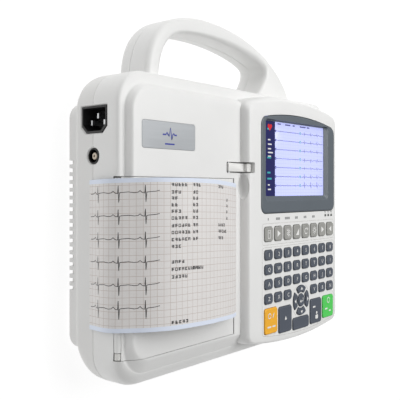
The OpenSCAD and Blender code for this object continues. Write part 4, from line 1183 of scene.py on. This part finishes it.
class RECORDER_OT_screen(bpy.types.Operator):
    """The screen: a bevelled panel round a sunk window, and the lit picture's traces and marks"""
    bl_idname = "recorder.screen"
    bl_label = "Screen"

    def execute(self, context):
        settings = context.scene.recorder_screen
        low, high = node_box("screen_frame")
        w_low, w_high = node_box("screen_window")
        s_low, s_high = w_low[:2] + [4.2, 5.4], w_high[:2] - [1.6, 4.6]
        side = 22

        def opening(grow, r):
            return rounded_outline(s_low[0] - grow, s_high[0] + grow, s_low[1] - grow, s_high[1] + min(grow, 1.2), r,
                                   side=side, corner=9)

        top = high[2]
        rows = [(bezel_outline(-0.3), low[2]), (bezel_outline(0), low[2] + 0.3), (bezel_outline(0), top - 1.0),
                (bezel_outline(-0.25), top - 0.45), (bezel_outline(-0.8), top - 0.1), (bezel_outline(-1.3), top),
                (bezel_outline(-1.8), top), (opening(4.9, 4.2), top), (opening(4.4, 4.0), top),
                (opening(3.7, 3.6), top - 0.35), (opening(0.6, 1.6), top - 2.3),
                (opening(0.0, 1.2), top - 2.6), (opening(0.0, 1.2), low[2] + 0.02)]
        rings = np.array([ring(o, z) for o, z in rows])
        count = rings.shape[1]
        faces = lattice(len(rings), count, close=True).tolist()
        last = (len(rings) - 1) * count
        faces += [[last + j, last + (j + 1) % count, (j + 1) % count, j] for j in range(count)]
        panel = make_object("screen_panel", rings.reshape(-1, 3), faces, Finishes.get("screen_frame_grey"), 40)
        place(panel, "case", "screen_frame_grey", "screen_frame")

        softened_copy("screen_window", "screen_glass_plate", "case", "screen_glass",
                      lit_screen(settings, s_low, s_high), 0.15)
        z = w_high[2] + 0.03
        u0, w0 = s_low
        u1, w1 = s_high
        width, depth = u1 - u0, w1 - w0
        bar = u0 + 0.15 * width

        def shown(name, parts, finish):
            """Flat marks lying on the window."""
            place(make_object(name, *join(parts), Finishes.get(finish)), "case", "screen_glass")

        shown("screen_sidebar", [flat(rounded_outline(u0, bar, w0, w1, 0.2, corner=2), z)], "screen_navy")
        traces, teal = [], []
        beat = np.array([[0, 0], [0.28, 0], [0.33, 0.5], [0.4, 0], [0.45, -0.3], [0.48, 2.6], [0.52, -1.6],
                         [0.56, 0], [0.68, 0.2], [0.76, 0.9], [0.84, 0.1], [1, 0]])
        gains = (0.45, 0.5, 0.42, -0.5, 0.35, 0.6, 0.8)
        start, split = bar + 2.0, u0 + 0.58 * width
        for row in range(7):
            level = w1 - 8.5 - row * (depth - 13) / 6.6
            for first, last, beats, gain in ((start, split - 3, 3.0, gains[row] * 0.55),
                                             (split + 1, u1 - 1.5, 3.4, gains[row] * 1.9)):
                step = (last - first) / beats
                path = [[first + (k + p[0]) * step, level + p[1] * gain] for k in range(4) for p in beat]
                path = np.array([p for p in path if p[0] <= last])
                traces.append(_loop(path, z + 0.02, 0.42))
            traces.append(_loop(arc(bar + 1.0, level, 0.8, 0, 330, 12), z + 0.03, 0.9))
            teal.append(_loop(arc(split - 1, level + 0.3, 0.9, 0, 330, 12), z + 0.03, 0.8))
        for k, length in enumerate((6, 9, 4, 11, 5)):
            u = bar + 4 + k * 13
            traces.append(flat(rounded_outline(u, u + length, w1 - 2.4, w1 - 1.2, 0.3, corner=3), z + 0.02))
        shown("screen_traces", traces, "screen_trace")
        for k, (share, length) in enumerate(((0.88, 5), (0.50, 6), (0.30, 5), (0.22, 7))):
            w = w0 + share * depth
            teal.append(flat(rounded_outline(u0 + 3, u0 + 3 + length, w, w + 1.6, 0.4, corner=3), z + 0.03))
        shown("screen_green_marks", teal, "screen_teal")
        pale = []
        for share, length in ((0.74, 4), (0.68, 6), (0.62, 5), (0.57, 8), (0.52, 5), (0.14, 3), (0.08, 5)):
            w = w0 + share * depth
            pale.append(flat(rounded_outline(u0 + 4, u0 + 4 + length, w, w + 1.2, 0.3, corner=3), z + 0.03))
        shown("screen_pale_marks", pale, "legend_white")
        t = np.linspace(0, 2 * np.pi, 32, endpoint=False)
        across = 16 * np.sin(t) ** 3
        heart = np.stack([across, 13 * np.cos(t) - 5 * np.cos(2 * t) - 2 * np.cos(3 * t) - np.cos(4 * t)], -1)
        heart = heart[::-1] * 0.22 + [u0 + 7, w1 - 5.5]
        shown("screen_heart", [flat(heart, z + 0.04)], "screen_red")
        softened_copy("status_lights", "status_lenses", "case", "status_lamp", Finishes.get("status_lamp"), 0.2)
        return {"FINISHED"}


# ---------------------------------------------------------------- nameplate, latch and side fittings

class RECORDER_OT_nameplate(bpy.types.Operator):
    """The plain grey plate with a generic pulse mark"""
    bl_idname = "recorder.nameplate"
    bl_label = "Nameplate"

    def execute(self, context):
        low, high = node_box("nameplate")
        rows = [(0.0, low[2]), (0.0, high[2] - 0.2), (-0.12, high[2] - 0.04), (-0.35, high[2])]
        plate = make_object("name_plate", *loft([ring(nameplate_outline(g), z) for g, z in rows]),
                            Finishes.get("nameplate_grey"))
        place(plate, "case", "nameplate_grey", "nameplate")
        centre = (low + high) / 2
        z = high[2] + PRINT_LIFT
        pulse = np.array([[-8, 0], [-4.4, 0], [-3.2, 1.6], [-2.0, 0], [-1.0, -1.4], [0.6, 5.4], [2.2, -3.6], [3.2, 0],
                          [4.4, 1.2], [5.4, 0], [8, 0]]) + centre[:2] + [0, 0.6]
        mark = [_loop(pulse, z, 1.2)]
        bar = rounded_outline(centre[0] - 5.5, centre[0] + 5.5, low[1] + 3.2, low[1] + 4.4, 0.5, corner=4)
        mark.append(flat(bar, z))
        place(make_object("pulse_mark", *join(mark), Finishes.get("mark_blue")), "case", "nameplate_grey")
        return {"FINISHED"}


class RECORDER_OT_fittings(bpy.types.Operator):
    """Latch, mains inlet, earth terminal, sockets, cover and feet with softened edges"""
    bl_idname = "recorder.fittings"
    bl_label = "Fittings"

    def execute(self, context):
        for node, name, body, finish, radius in (
                ("door_latch", "latch_bar", "latch", "latch_plastic", 0.35),
                ("mains_inlet", "inlet_housing", "case", "dark_plastic", 0.3),
                ("inlet_pins", "inlet_blades", "case", "bright_steel", 0.3),
                ("patient_socket", "lead_socket", "case", "dark_plastic", 0.25),
                ("network_socket", "data_socket", "case", "motor_steel", 0.25),
                ("battery_cover", "bottom_cover", "case", "case_lower", 0.2),
                ("rubber_feet", "round_feet", "case", "soft_rubber", 0.4)):
            softened_copy(node, name, body, finish, Finishes.get(finish), radius)
        low, high = node_box("earth_terminal")
        mid, z, r = (low[1] + high[1]) / 2, (low[2] + high[2]) / 2, (high[1] - low[1]) / 2
        inner = r - 0.9
        cup = [(low[0], r - 0.3), (low[0] + 0.3, r), (high[0] - 0.2, r), (high[0], r - 0.3)]
        hollow = [(low[0] - 1, inner + 0.2), (low[0] + 0.3, inner), (high[0] - 1.2, inner),
                  (high[0] - 1.0, inner - 0.3)]
        shell = make_object("earth_cup", *turned(cup, [0, mid, z], "x"), Finishes.get("dark_plastic"))
        combine(shell, "DIFFERENCE", turned(hollow, [0, mid, z], "x"))
        crisp(shell)
        place(shell, "case", "dark_plastic", "earth_terminal")
        pin = [(low[0] + 1.0, 1.9), (low[0] + 1.15, 2.5), (low[0] + 1.8, 3.0), (low[0] + 5, 3.0), (low[0] + 5.3, 2.7),
               (low[0] + 6.2, 2.7), (low[0] + 6.5, 3.0), (high[0] - 1.1, 3.0)]
        rod = make_object("earth_pin", *turned(pin, [0, mid, z], "x"), Finishes.get("earth_brass"), 30)
        combine(rod, "DIFFERENCE", turned([(low[0] - 1, 0.9), (low[0] + 2.2, 0.9), (low[0] + 2.6, 0.3)],
                                          [0, mid, z], "x", 20))
        crisp(rod, 30)
        place(rod, "case", "earth_brass")
        return {"FINISHED"}


# ---------------------------------------------------------------- paper

STRIP_T = 0.4
INK_LIFT = 0.04  # the print lies this far over the sheet
STRIP_DRIFT = (-2.6, -0.8, 1.2, 2.3, 2.4, 1.6, 0.6)  # sideways, at seven even places along the sheet


def strip_centreline():
    """The sheet's path in (u, z): four Bezier curves from the slot over the door and down the left face."""
    high = node_box("printed_strip")[1]
    top = high[2] - STRIP_T / 2
    slot_u = high[0] - STRIP_T
    left = node_box("strip_end")[0][0] + STRIP_T / 2
    rise = bezier([slot_u, PLATEAU_Z - 3.8], [slot_u + 0.2, PLATEAU_Z], [slot_u, top - 9], [72.0, top - 0.5], 60)
    fall = bezier([72.0, top - 0.5], [44, top + 1.6], [20, top - 3.0], [8.0, SHOULDER_Z + 10.5], 60)[1:]
    over = bezier([8.0, SHOULDER_Z + 10.5], [2.0, SHOULDER_Z + 3.5], [left, SHOULDER_Z - 1],
                  [left, HINGE_Z - 7], 30)[1:]
    hang = bezier([left, HINGE_Z - 7], [left, HINGE_Z - 14], [-2.0, SEAM_Z + 6], [-0.75, SEAM_Z - 2.8], 24)[1:]
    return resampled(np.concatenate([rise, fall, over, hang]), 180)


def strip_point(path, s, t, lift):
    """Points on the sheet: the path at length s, the sheet's width at t, lifted along the path's normal."""
    length = np.concatenate([[0], np.cumsum(np.linalg.norm(np.diff(path, axis=0), axis=1))])
    tangent = np.gradient(path, axis=0)
    tangent /= np.linalg.norm(tangent, axis=1)[:, None]
    u, z, du, dz = (np.interp(s, length, v) for v in (path[:, 0], path[:, 1], tangent[:, 0], tangent[:, 1]))
    front = node_box("printed_strip")[0][1]
    drift = np.interp(s, np.linspace(0, length[-1], len(STRIP_DRIFT)), STRIP_DRIFT)
    return np.stack([u + dz * lift, front + drift + np.asarray(t, float), z - du * lift], -1)


def bend_sheet(piece):
    """Works the piece's transform into its mesh; the sheet hangs on the case's left face by its own shape and rides
    on no body.
    """
    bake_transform(piece)


def _glyph(band, start, level, rng):
    """One printed mark: two to four short strokes inside a small box, which spell nothing."""
    tall, wide = 2.3, 2.1
    strokes = [band(np.array([start, start - wide]), np.array([level + h, level + h]), 0.5)
               for h in rng.choice((-1.0, -0.1, 0.9), 2, replace=False)]
    for place_at in rng.choice((0.25, 1.0, 1.8), 2, replace=False):
        strokes.append(band(np.array([start - place_at, start - place_at - 0.01]),
                            np.array([level - tall / 2, level + tall / 2]), 0.55))
    return strokes


class RECORDER_OT_paper(bpy.types.Operator):
    """The printed strip: one sheet with a chart grid, plain margins, traces and lines of marks"""
    bl_idname = "recorder.paper"
    bl_label = "Chart paper"

    def execute(self, context):
        settings = context.scene.recorder_paper
        path = strip_centreline()
        total = float(np.sum(np.linalg.norm(np.diff(path, axis=0), axis=1)))
        low, high = node_box("printed_strip")
        width = high[1] - low[1]
        s = np.linspace(0, total, 181)
        t = np.linspace(0, width, 23)
        grid_s, grid_t = np.meshgrid(s, t, indexing="ij")
        upper = strip_point(path, grid_s.ravel(), grid_t.ravel(), STRIP_T / 2)
        lower = strip_point(path, grid_s.ravel(), grid_t.ravel(), -STRIP_T / 2)
        rows, columns = grid_s.shape
        quads = lattice(rows, columns)
        offset = rows * columns
        edge = np.concatenate([np.arange(columns), np.arange(1, rows) * columns + columns - 1,
                               (rows - 1) * columns + np.arange(columns - 2, -1, -1),
                               np.arange(rows - 2, 0, -1) * columns])
        nxt = np.roll(edge, -1)
        faces = np.concatenate([quads, quads[:, ::-1] + offset,
                                np.stack([nxt, edge, edge + offset, nxt + offset], -1)])
        flip = np.cross(upper[columns] - upper[0], upper[1] - upper[0])
        away = upper[0] - lower[0]
        if np.dot(flip, away) > 0:
            faces = faces[:, ::-1]
        sheet = make_object("chart_strip", np.concatenate([upper, lower]), faces, chart_paper(settings, width), 60)
        uv = sheet.data.uv_layers.new(name="sheet")
        index = np.zeros(len(sheet.data.loops), int)
        sheet.data.loops.foreach_get("vertex_index", index)
        flat_uv = np.stack([grid_s.ravel(), grid_t.ravel()], -1) * MM
        flat_uv = np.concatenate([flat_uv, flat_uv])[index]
        uv.data.foreach_set("uv", flat_uv.ravel())
        bend_sheet(sheet)
        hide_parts("printed_strip", "strip_end")

        def band(points_s, points_t, w):
            """A printed line on the sheet through points (s, t)."""
            right, left = ribbon(distinct(np.stack([points_s, points_t], -1)), w)
            both = np.concatenate([right, left])
            n = len(right)
            order = [[i, i + 1, n + i + 1, n + i] for i in range(n - 1)]
            placed = strip_point(path, both[:, 0], both[:, 1], STRIP_T / 2 + INK_LIFT)
            return placed, order

        marks = []
        # one beat as (length, height) from its spike: rise, spike, dip and the slow wave after it
        wave = np.array([[-17.0, 0.2], [-8.0, 0.0], [-5.5, 0.3], [-4.0, 1.5], [-2.6, 0.1], [-0.7, -0.4], [-0.3, 5.4],
                         [0.15, -6.6], [0.7, 0.1], [2.0, 0.4], [7.0, 0.7], [10.5, 1.4], [14.0, 0.6], [17.0, 0.3]])
        spikes = (166.5, 147.5, 128.2)
        for row in range(6):
            base = width - 10.5 - 16.5 * row
            along, up = [total - 2.0], [base]
            for k, spike in enumerate(spikes):
                reach = 14.0 if k == 2 else 0.5 * (spike - spikes[k + 1]) + 0.4
                for a, b in wave:
                    if -9 < a < reach and spike - a < total - 3:
                        along.append(spike - a)
                        up.append(base + b * (1.0, 0.9, 0.95, 0.85, 1.05, 1.1)[row])
            along, up = np.array(along), np.array(up)
            dense = np.linspace(0, 1, 9)[:-1]
            ss = np.concatenate([along[i] + (along[i + 1] - along[i]) * dense for i in range(len(along) - 1)])
            tt = np.concatenate([up[i] + (up[i + 1] - up[i]) * dense for i in range(len(along) - 1)])
            marks.append(band(ss, tt, settings.trace_width))
        rng = np.random.default_rng(7)
        levels = (5.0, 10.3, 14.8, 19.6, 24.3, 29.2, 34.6, 39.6, 44.7, 49.7, 60.8, 66.2, 71.6)
        words = ((5, 3, 3), (3, 2, 0), (2, 2, 1), (2, 2, 1), (3, 2, 1), (5, 2, 1), (6, 2, 4), (6, 2, 5), (6, 2, 3),
                 (3, 0, 0), (4, 0, 0), (9, 4, 0), (5, 0, 0))
        for level, counts in zip(levels, words):
            for s0, count in zip((109.0, 89.5, 58.0 if counts[2] > 2 else 44.0), counts):
                for i in range(count):
                    marks += _glyph(band, s0 - 2.9 * i, width - level, rng)
        for i in range(5):
            marks += _glyph(band, 109.0 - 3.1 * i, 5.5, rng)
        ink = make_object("chart_print", *join(marks), Finishes.get("ink"), 60)
        bend_sheet(ink)
        return {"FINISHED"}


# ---------------------------------------------------------------- carried-over nodes

class RECORDER_OT_carried_nodes(bpy.types.Operator):
    """Gives each frame node that still shows its own finish"""
    bl_idname = "recorder.carried_nodes"
    bl_label = "Inner parts"

    def execute(self, context):
        roll = moulded("paper_roll_side", (0.70, 0.66, 0.63), roughness=0.6, stretch=(6, 0.5, 6), mottle=0.06)
        for name, node in frame["nodes"].items():
            if node.hide_render:
                continue
            slot = key_slot(name)
            material = roll if slot == "chart_paper" else Finishes.get(slot)
            if node.material_slots:
                for holder in node.material_slots:
                    holder.link = "OBJECT"
                    holder.material = material
            else:
                node.data.materials.append(material)
        return {"FINISHED"}


# ---------------------------------------------------------------- stage

CAMERA_PLACE = (-0.47017, 0.0020, 0.40555)
CAMERA_TILT = 39.70
LENS, SENSOR, SHIFT_Y = 59.504, 36.0, -0.0272


class RECORDER_OT_stage(bpy.types.Operator):
    """Camera, soft lights and a plain pale floor"""
    bl_idname = "recorder.stage"
    bl_label = "Stage"

    def execute(self, context):
        scene = context.scene
        camera = bpy.data.objects.new("camera", bpy.data.cameras.new("camera"))
        scene.collection.objects.link(camera)
        camera.data.lens, camera.data.sensor_width, camera.data.shift_y = LENS, SENSOR, SHIFT_Y
        camera.data.clip_start, camera.data.clip_end = 0.01, 50
        tilt = math.radians(CAMERA_TILT)
        right = Vector((math.sin(tilt), 0, math.cos(tilt)))
        up = Vector((0, 1, 0))
        back = right.cross(up)
        turn = Matrix((right, up, back)).transposed().to_4x4()
        camera.matrix_world = Matrix.Translation(CAMERA_PLACE) @ turn
        scene.camera = camera

        floor_material = moulded("floor_paint", (0.22, 0.22, 0.22), roughness=0.9, grain=300, mottle=0.005)
        shine = floor_material.node_tree.nodes["Principled BSDF"]
        shine.inputs["Emission Color"].default_value = (1, 1, 1, 1)
        shine.inputs["Emission Strength"].default_value = 0.86
        shine.inputs["Specular IOR Level"].default_value = 0.1
        points = np.array([[-6000.0, -6000, 0], [6000, -6000, 0], [6000, 6000, 0], [-6000, 6000, 0]])
        floor = make_object("floor", points, [[0, 1, 2, 3]], floor_material)

        for name, place_at, aim, size, power in (
                ("overhead", (0.45, 0.45, 1.5), (0, 0, 0), 1.3, 19.0),
                ("left", (-1.5, 0.35, 0.55), (0, 0, 0.05), 1.1, 1.0),
                ("behind", (0.0, 1.6, 0.9), (0, 0, 0.05), 1.0, 7.0)):
            light = bpy.data.lights.new(name, "AREA")
            light.energy, light.size = power, size
            holder = bpy.data.objects.new(name, light)
            scene.collection.objects.link(holder)
            direction = Vector(aim) - Vector(place_at)
            turn = direction.to_track_quat("-Z", "Y").to_matrix().to_4x4()
            holder.matrix_world = Matrix.Translation(place_at) @ turn
        world = bpy.data.worlds.new("world")
        world.use_nodes = True
        world.node_tree.nodes["Background"].inputs["Color"].default_value = (1.0, 1.0, 1.0, 1)
        world.node_tree.nodes["Background"].inputs["Strength"].default_value = 0.3
        scene.world = world
        scene.view_settings.view_transform = "Standard"
        return {"FINISHED"}


class RECORDER_PT_panel(bpy.types.Panel):
    """Lists the recorder's pieces"""
    bl_label = "ECG recorder"
    bl_idname = "RECORDER_PT_panel"
    bl_space_type = "VIEW_3D"
    bl_region_type = "UI"
    bl_category = "Recorder"

    def draw(self, context):
        scene = context.scene
        for settings in (scene.recorder_case, scene.recorder_paper, scene.recorder_keys, scene.recorder_screen):
            for name in settings.__annotations__:
                self.layout.prop(settings, name)
        for operator in OPERATORS:
            self.layout.operator(operator.bl_idname)


SETTINGS = {
    "recorder_case": CaseSettings, "recorder_paper": PaperSettings,
    "recorder_keys": KeySettings, "recorder_screen": ScreenSettings,
}
OPERATORS = (
    RECORDER_OT_stage, RECORDER_OT_upper_shell, RECORDER_OT_lower_shell, RECORDER_OT_handle, RECORDER_OT_door,
    RECORDER_OT_keys, RECORDER_OT_panel_lines, RECORDER_OT_legends, RECORDER_OT_panel_marks, RECORDER_OT_screen,
    RECORDER_OT_nameplate, RECORDER_OT_fittings, RECORDER_OT_paper, RECORDER_OT_carried_nodes,
)


def register():
    for cls in (*SETTINGS.values(), *OPERATORS, RECORDER_PT_panel):
        bpy.utils.register_class(cls)
    for name, cls in SETTINGS.items():
        setattr(bpy.types.Scene, name, PointerProperty(type=cls))


def unregister():
    for name in SETTINGS:
        delattr(bpy.types.Scene, name)
    for cls in (RECORDER_PT_panel, *OPERATORS, *SETTINGS.values()):
        bpy.utils.unregister_class(cls)


def main():
    register()
    for operator in OPERATORS:
        group, name = operator.bl_idname.split(".")
        getattr(getattr(bpy.ops, group), name)()


if __name__ == "__main__":
    main()
